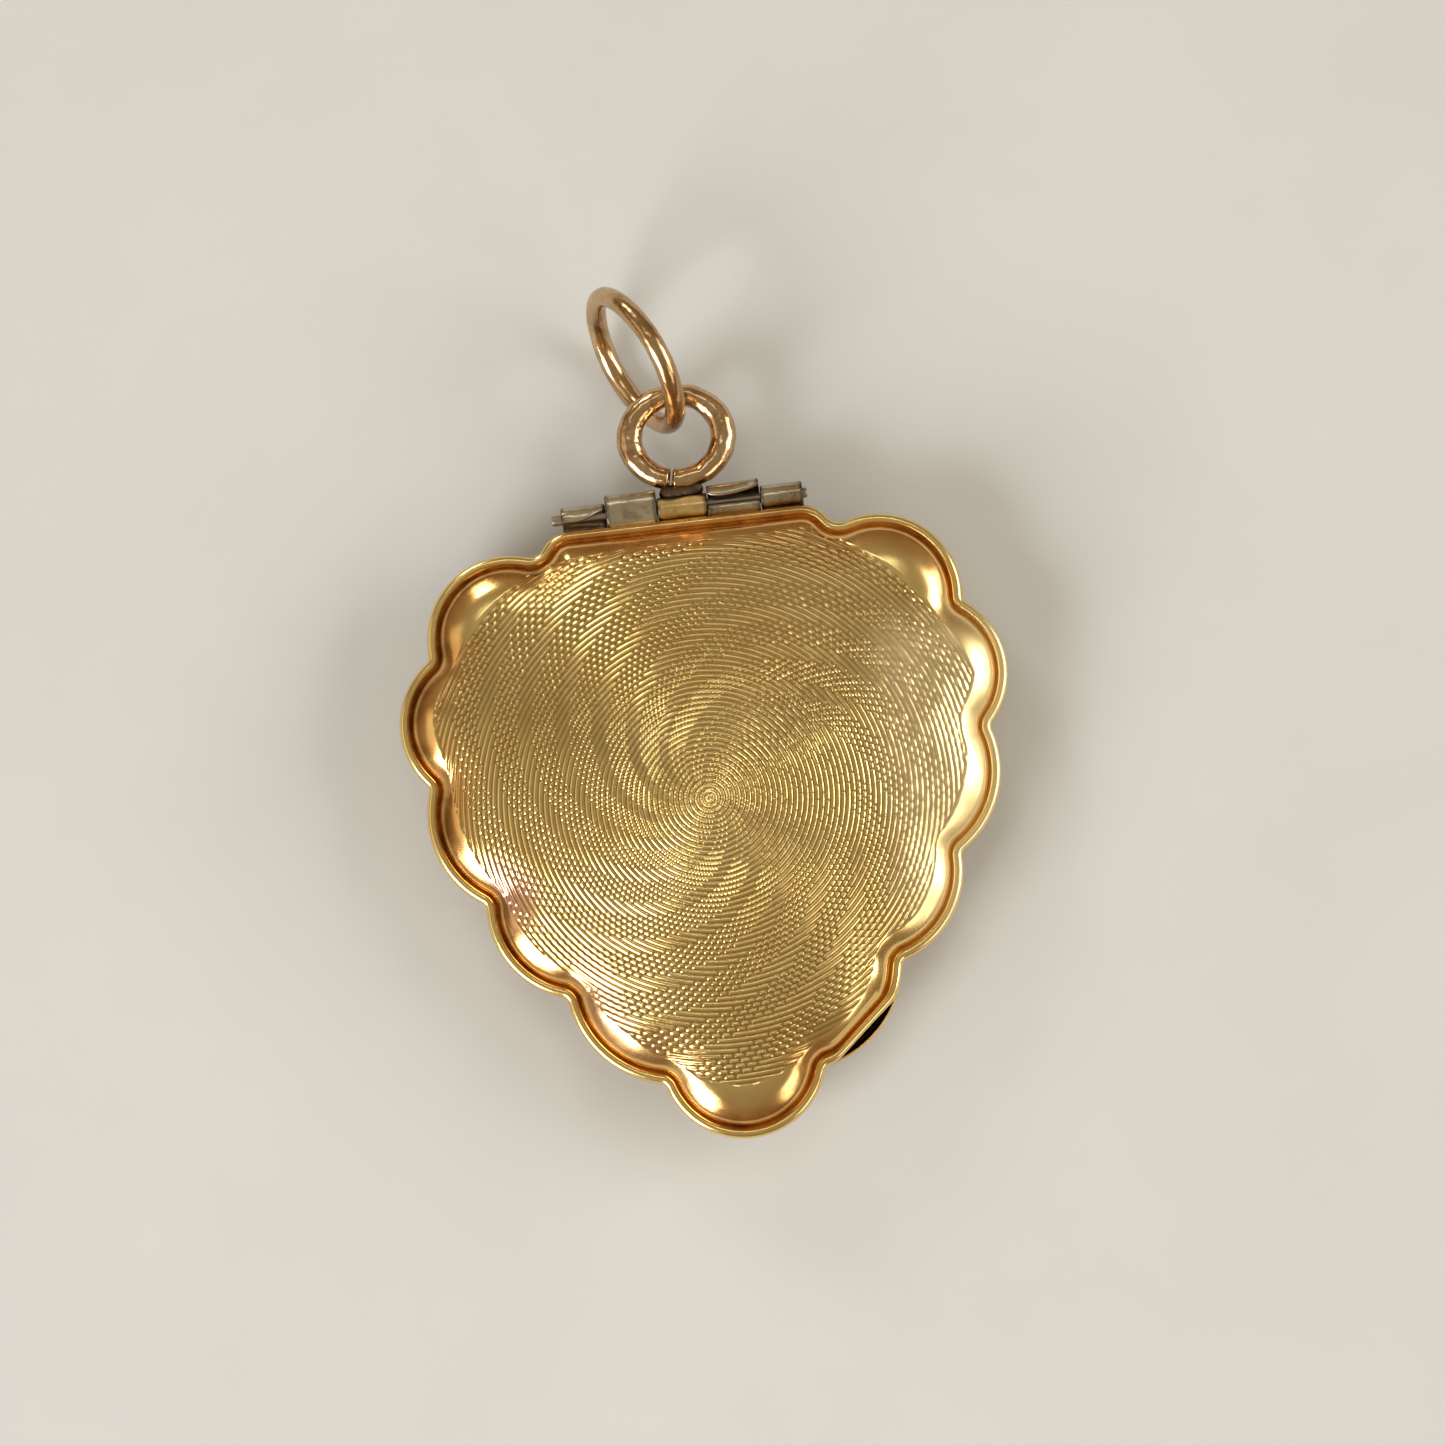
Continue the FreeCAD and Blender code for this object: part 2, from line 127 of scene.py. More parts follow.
def edge_distances(points, edge_y):
    """Distance of each point to each arc of the whole outline, and to its straight edge."""
    rows = []
    for side in (1.0, -1.0):
        px, py = points[:, 0] * side, points[:, 1]
        for centre, rad, first, swept in half_arcs(edge_y):
            dx, dy = px - centre[0], py - centre[1]
            turn = np.arctan2(dy, dx) - first
            turn = (turn - swept / 2 + math.pi) % TAU - math.pi
            inside = np.abs(turn) <= abs(swept) / 2
            ends = [(centre[0] + rad * math.cos(a), centre[1] + rad * math.sin(a))
                    for a in (first, first + swept)]
            to_end = np.minimum(*[np.hypot(px - ex, py - ey) for ex, ey in ends])
            rows.append(np.where(inside, np.abs(np.hypot(dx, dy) - rad), to_end))
    beyond = np.maximum(np.abs(points[:, 0]) - SHOULDER_X, 0.0)
    rows.append(np.hypot(beyond, edge_y - points[:, 1]))
    return np.array(rows)


def smoothstep(low, high, value):
    """Smooth share from 0 at low to 1 at high, which may be the lesser."""
    t = np.clip((value - low) / (high - low), 0.0, 1.0)
    return t * t * (3 - 2 * t)


def bell(value, middle, width):
    """Bell curve, 1 at its middle."""
    return np.exp(-((value - middle) / width) ** 2)


# How sharply the lobes' distances blend, and the insets over which the blend sets in.
LOBE_BLEND, BLEND_FROM, BLEND_TO = 1.6, 0.9, 2.4


def soft_inset(points, edge_y):
    """Inset of each point: exact near the edge, with the creases smoothed further in."""
    rows = edge_distances(points, edge_y)
    exact = rows.min(0)
    soft = -np.log(np.exp(-LOBE_BLEND * (rows - exact)).sum(0)) / LOBE_BLEND + exact
    share = smoothstep(BLEND_FROM, BLEND_TO, exact)
    return exact * (1 - share) + soft * share


WAVE_PEAK = 1.5


def waves(points, size, count, seed):
    """Smooth random field of about unit range over (x, y): count waves about size long."""
    source = np.random.default_rng(seed)
    total = np.zeros(len(points))
    for _ in range(count):
        angle, phase = source.uniform(0, TAU, 2)
        length = size * source.uniform(0.6, 1.6)
        total += np.sin((points[:, 0] * math.cos(angle) + points[:, 1] * math.sin(angle))
                        * TAU / length + phase)
    return total / count ** 0.5 / WAVE_PEAK


# ---------------------------------------------------------------- mesh helpers

def make_mesh(name, points, faces, smooth=True, attributes=None):
    """Object from millimetre points and faces of mixed sizes, given as a list of (n, k) arrays."""
    groups = [np.asarray(group, dtype=np.int32) for group in faces if len(group)]
    loops = np.concatenate([group.ravel() for group in groups])
    sizes = np.concatenate([np.full(len(group), group.shape[1]) for group in groups])
    starts = np.concatenate([[0], np.cumsum(sizes)[:-1]])
    mesh = bpy.data.meshes.new(name)
    mesh.vertices.add(len(points))
    mesh.vertices.foreach_set("co", (np.asarray(points, float) * MM).ravel())
    mesh.loops.add(len(loops))
    mesh.loops.foreach_set("vertex_index", loops)
    mesh.polygons.add(len(sizes))
    mesh.polygons.foreach_set("loop_start", starts.astype(np.int32))
    mesh.polygons.foreach_set("use_smooth", np.full(len(sizes), smooth))
    mesh.update(calc_edges=True)
    mesh.validate()
    for key, values in (attributes or {}).items():
        layer = mesh.attributes.new(key, "FLOAT", "POINT")
        layer.data.foreach_set("value", np.asarray(values, np.float32))
    piece = bpy.data.objects.new(name, mesh)
    bpy.context.scene.collection.objects.link(piece)
    return piece


def split_faces(quads):
    """Quads with repeated corners become triangles, or vanish."""
    quads = np.asarray(quads)
    same = quads == np.roll(quads, -1, axis=1)
    repeats = same.sum(1)
    whole = quads[repeats == 0]
    threes = []
    for slot in range(4):
        picked = quads[(repeats == 1) & same[:, slot]]
        threes.append(np.delete(picked, slot, axis=1))
    return [whole, np.vstack(threes)]


def ring_quads(lower, upper, count):
    """Quads between two closed rows of vertices that start at lower and upper."""
    j = np.arange(count)
    k = (j + 1) % count
    return np.column_stack([lower + j, lower + k, upper + k, upper + j])


# ---------------------------------------------------------------- engine turning

# Rings of ridges, with RING_ROWS rows of vertices to a ring and COLUMNS vertices in a row.
TURN_CENTRE = (-0.12, -0.20)
RING_PITCH, RING_ROWS, COLUMNS = 0.207, 5, 864
# Each ring has ARMS beaded stretches, and is turned on from the ring inside it.
ARMS, BEAD_DEG, BEADED_DEG, RING_TURN_DEG = 12, 2.5, 17.5, -3.75
RIDGE_HEIGHT = 0.055
FIELD_RAD = 11.60
# Depth of the gap between beads, base and rise of a plain ridge, depth of the nicks in it.
BEAD_GAP, PLAIN_BASE, PLAIN_RISE, NICK = 0.95, 0.05, 0.86, 0.45
# Radius of the plain middle, and how much further it reaches on the right.
PLAIN_RAD, PLAIN_RIGHT = 2.1, 3.6
# How much chatter and each cut's own depth take off a ridge; degrees between chatter marks.
CHATTER, CUT_VARIES, CHATTER_DEG = 0.65, 0.16, 1.25
# Random shares that the cuts draw on, and how far apart two rings start in them.
CHANCES, RING_STRIDE = 4096, 389
# Where the engraving stops, clockwise from the hinge side, in the frame's x and y.
FIELD_EDGE = (
    (0.0, 10.15), (2.0, 10.16), (4.0, 10.14), (5.6, 10.16), (7.6, 8.77), (9.2, 7.07),
    (9.85, 6.15), (10.3, 5.3), (10.72, 4.5), (10.85, 3.7), (10.6, 2.9), (10.15, 2.05),
    (10.12, 1.3), (10.2, 0.5), (10.0, -0.4), (9.6, -1.4), (9.1, -2.2), (8.62, -2.85),
    (8.5, -3.6), (8.15, -4.6), (7.6, -5.5), (6.9, -6.1), (6.15, -6.5), (5.75, -7.0),
    (5.5, -7.7), (5.1, -8.5), (4.4, -9.3), (3.6, -9.9), (2.8, -10.35), (2.1, -10.95),
    (1.2, -11.4), (0.0, -11.65), (-1.2, -11.4), (-2.1, -10.9), (-2.75, -10.4), (-3.5, -10.0),
    (-4.3, -9.2), (-5.0, -8.5), (-5.6, -7.7), (-6.1, -6.8), (-6.9, -6.15), (-7.5, -5.5),
    (-8.1, -4.6), (-8.55, -3.7), (-8.85, -2.9), (-9.3, -2.2), (-9.7, -1.4), (-10.05, -0.4),
    (-10.25, 0.5), (-10.38, 1.4), (-10.45, 2.2), (-10.62, 3.2), (-10.72, 4.1), (-10.55, 5.0),
    (-10.2, 5.6), (-9.55, 6.6), (-8.6, 7.8), (-7.5, 8.9), (-6.3, 9.6), (-5.3, 9.85),
    (-3.8, 10.05), (-2.0, 10.13),
)
CURVE_STEPS = 12


def catmull_rom(a, b, c, d, t):
    """Curve from b to c at each share t, with a before them and d after."""
    return 0.5 * (2 * b + (c - a) * t + (2 * a - 5 * b + 4 * c - d) * t ** 2
                  + (3 * b - a - 3 * c + d) * t ** 3)


def smooth_closed(points):
    """Closed smooth curve through points."""
    p = np.asarray(points, float)
    t = np.linspace(0, 1, CURVE_STEPS, endpoint=False)[:, None, None]
    curve = catmull_rom(np.roll(p, 1, 0), p, np.roll(p, -1, 0), np.roll(p, -2, 0), t)
    return curve.transpose(1, 0, 2).reshape(-1, 2)


def scuffed(points):
    """Share of chatter and wear, and of a pale painted sheen: over the right-hand lobes only."""
    side = smoothstep(5.6, 8.2, points[:, 0]) * smoothstep(7.5, 4.5, points[:, 1])
    return side * smoothstep(-8.5, -4.5, points[:, 1])


def chance_by_cut(ring, column, stride, seed):
    """Random share for each cut, by its ring and its column."""
    cell = (ring * RING_STRIDE + column * stride).astype(np.int64) % CHANCES
    return np.random.default_rng(seed).random(CHANCES)[cell]


def engraving(radius, angle, points):
    """Height of the engine turning from 0 in its grooves to 1 on its ridges."""
    ring = np.floor(radius / RING_PITCH + 1e-6)
    ridge = np.abs(np.sin(math.pi * radius / RING_PITCH))
    turned = (np.degrees(angle) - ring * RING_TURN_DEG) % (360.0 / ARMS)
    along = (turned / BEAD_DEG) % 1.0
    bead = 1.0 - BEAD_GAP * np.clip(np.abs(2 * along - 1), 0, 1) ** 4
    beaded = (turned < BEADED_DEG - 0.01) | (along < 0.05) & (turned < BEADED_DEG + 0.2)
    # Towards the middle the beads give way to plain rings, sooner on the right.
    start = PLAIN_RAD + PLAIN_RIGHT * np.clip(np.cos(angle - 0.15), 0, 1) ** 1.2
    share = smoothstep(start - 0.5, start + 0.9, radius)
    nicked = (turned / (3 * BEAD_DEG)) % 1.0
    nick = 1.0 - NICK * np.clip(np.abs(2 * nicked - 1), 0, 1) ** 10
    plain = PLAIN_BASE + PLAIN_RISE * ridge
    height = np.where(beaded, ridge ** 1.25 * bead * share + plain * nick * (1 - share), plain)
    # Chatter of the tool over the right-hand lobes, and small differences between the cuts.
    mark = np.floor(np.degrees(angle) / CHATTER_DEG)
    height *= 1 - scuffed(points) * CHATTER * chance_by_cut(ring, mark, 17, 11)
    cut = np.floor(np.degrees(angle - np.radians(ring * RING_TURN_DEG)) / BEAD_DEG)
    return height * (1 - CUT_VARIES * chance_by_cut(ring, cut, 31, 12))


# ---------------------------------------------------------------- stamped halves

# Heights above the parting: of the crease inside the rim's bead, and of the dome's top.
COVE_Z, DOME_TOP = 0.42, 2.45
# The skin is uneven by UNEVEN, and lies BELOW_CAD lower than the CAD one to stay in its box.
UNEVEN, BELOW_CAD = 0.006, 0.009
# The back's rings: their step, the inset where they end, and vertices in a row.
PLAIN_STEP, PLAIN_EDGE, BACK_COLUMNS = 0.16, 1.6, 432
MARGIN_ROWS = 10
# The inside, which closes the sheet: its depth below the dome, there and at the centre, and its
# rows as shares of the reach.
SHEET_DEEP, CROWN_DEEP = 0.28, 0.30
INSIDE_ROWS = (0.96, 0.88, 0.75, 0.5, 0.2)
# Slope of the lobed step up from the rim, by inset; its integral is the step.
STEP_SLOPE = ((0.45, 3.4), (0.52, 3.1), (0.62, 1.6), (0.72, 0.78), (0.90, 0.64), (1.15, 0.55),
              (1.50, 0.18), (1.80, 0.0))
# Rim from the dome's foot, over the bead, down the wall, under the rolled edge and up inside:
# (inset, height above the parting, or None for the dome's own).
RIM = ((0.80, None), (0.73, None), (0.66, None), (0.60, None), (0.55, None), (0.51, None),
       (0.48, None), (0.455, 0.420), (0.440, 0.432), (0.425, 0.470), (0.405, 0.530),
       (0.380, 0.580), (0.345, 0.622), (0.300, 0.650), (0.250, 0.662), (0.200, 0.662),
       (0.150, 0.652), (0.105, 0.628), (0.065, 0.590), (0.036, 0.545), (0.016, 0.490),
       (0.004, 0.420), (0.0, 0.330), (0.0, 0.190),
       (0.004, 0.100), (0.016, 0.045), (0.040, 0.012), (0.075, 0.0), (0.095, 0.020),
       (0.110, 0.060), (0.125, 0.100), (0.36, 0.100), (0.40, 0.060), (0.43, 0.0), (0.65, 0.0),
       (0.93, 0.0), (0.975, 0.012), (1.0, 0.045), (1.0, 0.20), (1.0, 0.36))
# Rows of RIM that are level with the parting, except in the back behind the thumbnail cut. There
# their height counts HOLLOW_DEPTH times, and they are painted dark as the hollow's shade.
RIM_HOLLOW = range(28, 33)
HOLLOW_DEPTH, HOLLOW_SHADE = 4.0, 1.6
# Thumbnail cut: its direction from the last lobe's centre, its depth, and half its length as an
# angle from the turning's centre, past which the line bends away at NAIL_BEND.
NAIL_AT, NAIL_CUT = math.radians(-49.0), 0.36
NAIL_HALF, NAIL_BEND = 0.165, 110
# The straight line and the lobe blend over about 1 / NAIL_BLEND near NAIL_REACH from the centre.
NAIL_BLEND, NAIL_REACH = 22, 10
# It cuts the rows of less inset than NAIL_ROWS, each by its inset times NAIL_SLANT.
NAIL_ROWS, NAIL_SLANT = 0.85, 0.85


def dome_step(inset):
    """Rise of the lobed edge at each inset, in millimetres."""
    at, slope = np.array(STEP_SLOPE).T
    fine = np.linspace(at[0], at[-1], 280)
    rise = np.cumsum(np.interp(fine, at, slope)) * (fine[1] - fine[0])
    return np.interp(inset, fine, rise - rise[0])


STEP_RISE = float(dome_step(STEP_SLOPE[-1][0]))

# Reach of the outline without its lobes, of which only the first few harmonics are kept.
SWEEP_STEPS, HARMONICS = 720, 5
SWEEP = np.arange(SWEEP_STEPS) * TAU / SWEEP_STEPS
LOBED = np.fft.rfft(polar_radius(offset_polyline(0.46, FRONT_EDGE_Y), (0.0, 0.0), SWEEP))
LOBED[HARMONICS:] = 0
EVEN_REACH = np.fft.irfft(LOBED, SWEEP_STEPS)


def dome_height(inset, points):
    """Height above the parting: a lobed step up from the rim, then one shallow crown."""
    reach = np.interp(np.arctan2(points[:, 1], points[:, 0]), SWEEP, EVEN_REACH, period=TAU)
    out = np.hypot(points[:, 0], points[:, 1]) / reach
    crown = (DOME_TOP - COVE_Z - STEP_RISE) * np.clip(1 - out ** 2, 0, 1)
    return COVE_Z + dome_step(inset) + crown * smoothstep(0.40, 1.6, inset) - BELOW_CAD


def uneven_dome(inset, points, cut=0.0):
    """The dome less its engraved cuts, with slight hand-worked waves."""
    return dome_height(inset, points) - RIDGE_HEIGHT * cut + UNEVEN * waves(points, 5.0, 5, 3)


def bearing(points):
    """Degrees anticlockwise from +X."""
    return np.degrees(np.arctan2(points[:, 1], points[:, 0])) % 360.0


def patina_and_shade(inset, points):
    """Share of tarnish with painted shade and reflection: full in the crease, fading up the dome's
    edge, most on the left.
    """
    x, y = points[:, 0], points[:, 1]
    around = bearing(points)
    # The share grows towards the left and at the tip, as a painted reflection of darker
    # surroundings.
    amount = 0.52 + 0.44 * np.cos(np.radians(around - 165.0))
    amount += 0.42 * bell(around, 271.0, 11.0)
    amount += 0.30 * bell(around, 48.0, 16.0)
    crease = smoothstep(0.36, 0.44, inset) * smoothstep(0.66 + 0.22 * amount, 0.50, inset)
    slope = smoothstep(0.38, 0.46, inset) * smoothstep(1.75, 0.55, inset) * amount
    # Painted shade, with tarnish, along the edge under the hinge.
    hinge = smoothstep(10.25, 10.75, y) * smoothstep(5.7, 4.9, np.abs(x))
    crease = crease * (0.42 + 0.58 * np.clip(amount, 0, 1))
    return np.clip(np.maximum(np.maximum(crease, slope), 0.62 * hinge), 0, 1)


def rose_blush(inset, points):
    """Share of the pink film on the lower left lobes."""
    around = bearing(points)
    film = bell(around, 199.0, 9.0) + 0.6 * bell(around, 236.0, 14.0)
    return film * smoothstep(0.42, 0.55, inset) * smoothstep(1.9, 1.1, inset)


def half_shell(name, is_cover):
    """One stamped half. Only the cover has the engraving, and the thumbnail cut in its rim."""
    facing, edge_y = (1, FRONT_EDGE_Y) if is_cover else (-1, BACK_EDGE_Y)
    columns, centre = (COLUMNS, TURN_CENTRE) if is_cover else (BACK_COLUMNS, (0.0, 0.0))
    angles = np.arange(columns) * TAU / columns
    points, groove_shade, tarnish_and_shade, film, faces = [], [], [], [], []

    def spot(radius, angle):
        return np.column_stack([centre[0] + radius * np.cos(angle),
                                centre[1] + radius * np.sin(angle)])

    def add(xy, z, dark=0.0, cut=0.0, pink=0.0):
        start = sum(len(p) for p in points)
        points.append(np.column_stack([xy, z]))
        for layer, value in ((groove_shade, cut), (tarnish_and_shade, dark), (film, pink)):
            layer.append(np.broadcast_to(value, len(xy)))
        return start

    # The middle: rings of the turning, each column stopping at the field's edge.
    if is_cover:
        limit = polar_radius(smooth_closed(FIELD_EDGE), centre, angles)
        limit = np.minimum(limit, FIELD_RAD)
        step = RING_PITCH / RING_ROWS
    else:
        limit = polar_radius(offset_polyline(PLAIN_EDGE, edge_y), centre, angles)
        step = PLAIN_STEP
    # The last ring of a column stays a third of a step clear of the edge, which has its own row.
    counts = np.floor(limit / step - 0.35).astype(int)
    base = 1 + np.concatenate([[0], np.cumsum(counts + 1)[:-1]])
    radius = np.concatenate([np.append(np.arange(1, n + 1) * step, r)
                             for n, r in zip(counts, limit)])
    angle = np.repeat(angles, counts + 1)
    xy = np.vstack([[centre], spot(radius, angle)])
    inset = soft_inset(xy, edge_y)
    cut = np.zeros(len(xy))
    if is_cover:
        r_all = np.concatenate([[0.0], radius])
        a_all = np.concatenate([[0.0], angle])
        end = np.concatenate([[10.0], np.repeat(limit, counts + 1) - radius])
        cut = (1 - engraving(r_all, a_all, xy)) * smoothstep(0.0, 0.05, end)
        cut = cut * smoothstep(0.06, 0.16, r_all)
    add(xy, uneven_dome(inset, xy, cut), patina_and_shade(inset, xy), cut, rose_blush(inset, xy))
    rows = counts.max() + 1
    j = np.repeat(np.arange(columns), rows - 1)
    k = np.tile(np.arange(rows - 1), columns)
    nxt = (j + 1) % columns
    quads = np.column_stack([base[j] + np.minimum(k, counts[j]),
                             base[j] + np.minimum(k + 1, counts[j]),
                             base[nxt] + np.minimum(k + 1, counts[nxt]),
                             base[nxt] + np.minimum(k, counts[nxt])])
    faces += split_faces(quads)
    j = np.arange(columns)
    faces.append(np.column_stack([np.zeros(columns, int), base[j], base[(j + 1) % columns]]))
    rim_in = base + counts

    # The margin and the rim, on twice the columns.
    fine = 2 * columns
    fine_angles = np.arange(fine) * TAU / fine
    fine_limit = np.interp(fine_angles, angles, limit, period=TAU)
    chord = nail_chord(centre, fine_angles)
    # Share of the thumbnail cut, from 0 where the outline stays inside its line.
    thumb = smoothstep(0.0, 0.16, polar_radius(offset_polyline(0.0, edge_y), centre, fine_angles)
                       - chord)

    def rim_reach(inset_row):
        reach = polar_radius(offset_polyline(inset_row, edge_y), centre, fine_angles)
        if is_cover and inset_row < NAIL_ROWS:
            straight = chord - inset_row * NAIL_SLANT
            both = sum(np.exp(-NAIL_BLEND * (r - NAIL_REACH)) for r in (reach, straight))
            reach = -np.log(both) / NAIL_BLEND + NAIL_REACH
        return reach

    foot = rim_reach(RIM[0][0])
    previous = None
    for share in np.linspace(0, 1, MARGIN_ROWS + 2)[1:-1] ** 0.85:
        xy = spot(fine_limit + (foot - fine_limit) * share, fine_angles)
        inset = soft_inset(xy, edge_y)
        row = add(xy, uneven_dome(inset, xy), patina_and_shade(inset, xy), 0.0, rose_blush(inset, xy))
        if previous is None:
            first = row + 2 * j
            last = row + (2 * j + 2) % fine
            faces.append(np.column_stack([rim_in[j], first, first + 1]))
            faces.append(np.column_stack([rim_in[j], first + 1, rim_in[(j + 1) % columns]]))
            faces.append(np.column_stack([rim_in[(j + 1) % columns], first + 1, last]))
        else:
            faces.append(ring_quads(previous, row, fine)[:, ::-1])
        previous = row
    for number, (inset_row, height) in enumerate(RIM):
        xy = spot(rim_reach(inset_row), fine_angles)
        inset = np.full(fine, inset_row)
        if height is None:
            zz = uneven_dome(inset, xy)
            dark = patina_and_shade(inset, xy)
        elif number in RIM_HOLLOW:
            # Under the thumbnail cut the back's rim is a thin edge with a hollow behind it,
            # painted dark as its shade.
            deep = np.zeros(fine) if is_cover else HOLLOW_DEPTH * thumb
            zz, dark = height * deep, HOLLOW_SHADE * np.clip(deep, 0, 1)
        else:
            zz = np.full(fine, height)
            # The outer wall takes a flat share of painted shade, for the reflection of dark
            # surroundings; elsewhere the rim takes tarnish with painted shade.
            on_wall = height < 0.50 and inset_row < 0.1
            dark = np.full(fine, 0.30) if on_wall else patina_and_shade(inset, xy)
        row = add(xy, zz, dark)
        faces.append(ring_quads(previous, row, fine)[:, ::-1])
        previous = row
    # The inside, plain, closing the sheet.
    inner = polar_radius(offset_polyline(1.0, edge_y), centre, fine_angles)
    for share in INSIDE_ROWS:
        xy = spot(inner * share, fine_angles)
        row = add(xy, dome_height(soft_inset(xy, edge_y), xy) - SHEET_DEEP)
        faces.append(ring_quads(previous, row, fine)[:, ::-1])
        previous = row
    middle = add(np.array([centre]), np.array([DOME_TOP - CROWN_DEEP]))
    j = np.arange(fine)
    faces.append(np.column_stack([previous + (j + 1) % fine, previous + j, np.full(fine, middle)]))
    points = np.vstack(points)
    points[:, 2] = PARTING_Z + facing * points[:, 2]
    if facing < 0:
        faces = [f[:, ::-1] for f in faces]
    # Colour shares: groove depth for painted shade, tarnish with painted shade, the pink film, and
    # chatter for a pale painted sheen with wear.
    return make_mesh(name, points, faces, attributes={
        "groove_shade": np.concatenate(groove_shade), "tarnish_and_shade": np.concatenate(tarnish_and_shade),
        "film": np.concatenate(film),
        "wear_and_sheen": scuffed(points) if is_cover else np.zeros(len(points))})


def nail_chord(centre, angles):
    """Distance to the line that cuts the cover's rim straight for the thumbnail."""
    x, y, rad = LOBES[4]
    normal = (math.cos(NAIL_AT), math.sin(NAIL_AT))
    at = (x - centre[0] + rad * normal[0], y - centre[1] + rad * normal[1])
    far = at[0] * normal[0] + at[1] * normal[1] - NAIL_CUT
    facing = np.cos(angles) * normal[0] + np.sin(angles) * normal[1]
    off = np.abs((angles - math.atan2(at[1], at[0]) + math.pi) % TAU - math.pi)
    return far / np.maximum(facing, 0.5) + NAIL_BEND * np.clip(off - NAIL_HALF, 0, None) ** 2


cover = half_shell("cover_shell", True)
back = half_shell("back_shell_skin", False)

# ---------------------------------------------------------------- hinge

AXIS_Y = 11.70
# Middle line of a rolled barrel, its sheet, and how far its cut edges are rounded.
BARREL_RAD, BARREL_SHEET, ROUND_END = 0.352, 0.25, 0.05
# Rounding of a cut edge: (share of ROUND_END, share of the sheet's thickness).
EDGE_ROUNDING = ((0.0, 0.52), (0.25, 0.80), (0.6, 0.95), (1.0, 1.0))
# A y past every leaf, for those that no solder flowed over.
NOWHERE = 99.0


def barrel_arc(last):
    """The barrel's middle line round the pin, from the web under it to last, in degrees."""
    angle = np.radians(np.linspace(-80, last, 18))
    return np.column_stack([AXIS_Y + BARREL_RAD * np.cos(angle),
                            PARTING_Z + BARREL_RAD * np.sin(angle)])


def even_path(points, count):
    """Smooth open line through (y, z) points, evenly sampled."""
    p = np.asarray(points, float)
    p = np.vstack([2 * p[0] - p[1], p, 2 * p[-1] - p[-2]])
    t = np.linspace(0, 1, CURVE_STEPS, endpoint=False)[:, None]
    out = [catmull_rom(a, b, c, d, t) for a, b, c, d in zip(p, p[1:], p[2:], p[3:])]
    out = np.vstack([*out, p[-2]])
    reach = np.concatenate([[0], np.cumsum(np.hypot(*np.diff(out, axis=0).T))])
    at = np.linspace(0, reach[-1], count)
    return np.column_stack([np.interp(at, reach, out[:, 0]), np.interp(at, reach, out[:, 1])])


def rolled_sheet(path, thick, left, right, shape=None):
    """Points and faces of a sheet that follows a (y, z) path, from left to right in x.

    Its cut edges are rounded; shape moves the points, given their share of the path.
    """
    n = len(path)
    along = np.gradient(path, axis=0)
    along /= np.hypot(along[:, :1], along[:, 1:])
    normal = np.column_stack([-along[:, 1], along[:, 0]])
    share = np.linspace(0, 1, n)
    taper = np.ones(n)
    taper[[0, -1]], taper[[1, -2]] = 0.45, 0.86
    xs = [left + ROUND_END * a for a, _ in EDGE_ROUNDING]
    scales = [b for _, b in EDGE_ROUNDING]
    middle = np.linspace(left + ROUND_END, right - ROUND_END, 14)[1:-1]
    xs += list(middle) + [right - ROUND_END * a for a, _ in reversed(EDGE_ROUNDING)]
    scales += [1.0] * len(middle) + [b for _, b in reversed(EDGE_ROUNDING)]
    points = []
    for x, scale in zip(xs, scales):
        half = normal * (thick / 2 * scale * taper)[:, None]
        section = np.vstack([path + half, (path - half)[::-1]])
        where = np.concatenate([share, share[::-1]])
        row = np.column_stack([np.full(2 * n, x), section])
        if shape is not None:
            row = shape(row, where)
        points.append(row)
    count = 2 * n
    faces = [ring_quads(k * count, (k + 1) * count, count) for k in range(len(xs) - 1)]
    i = np.arange(n - 1)
    cap = np.column_stack([i, i + 1, count - 2 - i, count - 1 - i])
    last = (len(xs) - 1) * count
    faces += [cap[:, ::-1], cap + last]
    return np.vstack(points), faces


def join_sheets(name, sheets, rough, seed, flowed=NOWHERE):
    """One object from several sheets, uneven by rough, with painted shade at its ends and dark
    solder where y > flowed.
    """
    points, faces, start = [], [], 0
    for sheet_points, sheet_faces in sheets:
        points.append(sheet_points)
        faces += [f + start for f in sheet_faces]
        start += len(sheet_points)
    points = np.vstack(points)
    points[:, 1] += rough * waves(points[:, :2] + points[:, 2:] * 0.7, 0.55, 7, seed)
    points[:, 2] += rough * waves(points[:, :2], 0.35, 7, seed + 9)
    # The ends are darkened as painted shade between the knuckles; past flowed, solder darkens the
    # leaf.
    from_end = np.minimum(points[:, 0] - points[:, 0].min(), points[:, 0].max() - points[:, 0])
    edge = flowed + 0.06 * np.sin(points[:, 0] * 4.1)
    shade_and_solder = np.maximum(smoothstep(0.09, 0.03, from_end),
                       smoothstep(edge - 0.04, edge + 0.04, points[:, 1]))
    return make_mesh(name, points, faces, attributes={"shade_and_solder": shade_and_solder})


def first_shape(row, share):
    """The first knuckle's leaf is filed away at its lower right corner."""
    turn = -smoothstep(-4.35, -3.12, row[:, 0]) ** 1.6 * smoothstep(0.40, 1.0, share)
    y, z = row[:, 1] - AXIS_Y, row[:, 2] - PARTING_Z
    row[:, 1] = AXIS_Y + y * np.cos(turn) - z * np.sin(turn)
    row[:, 2] = PARTING_Z + y * np.sin(turn) + z * np.cos(turn)
    return row


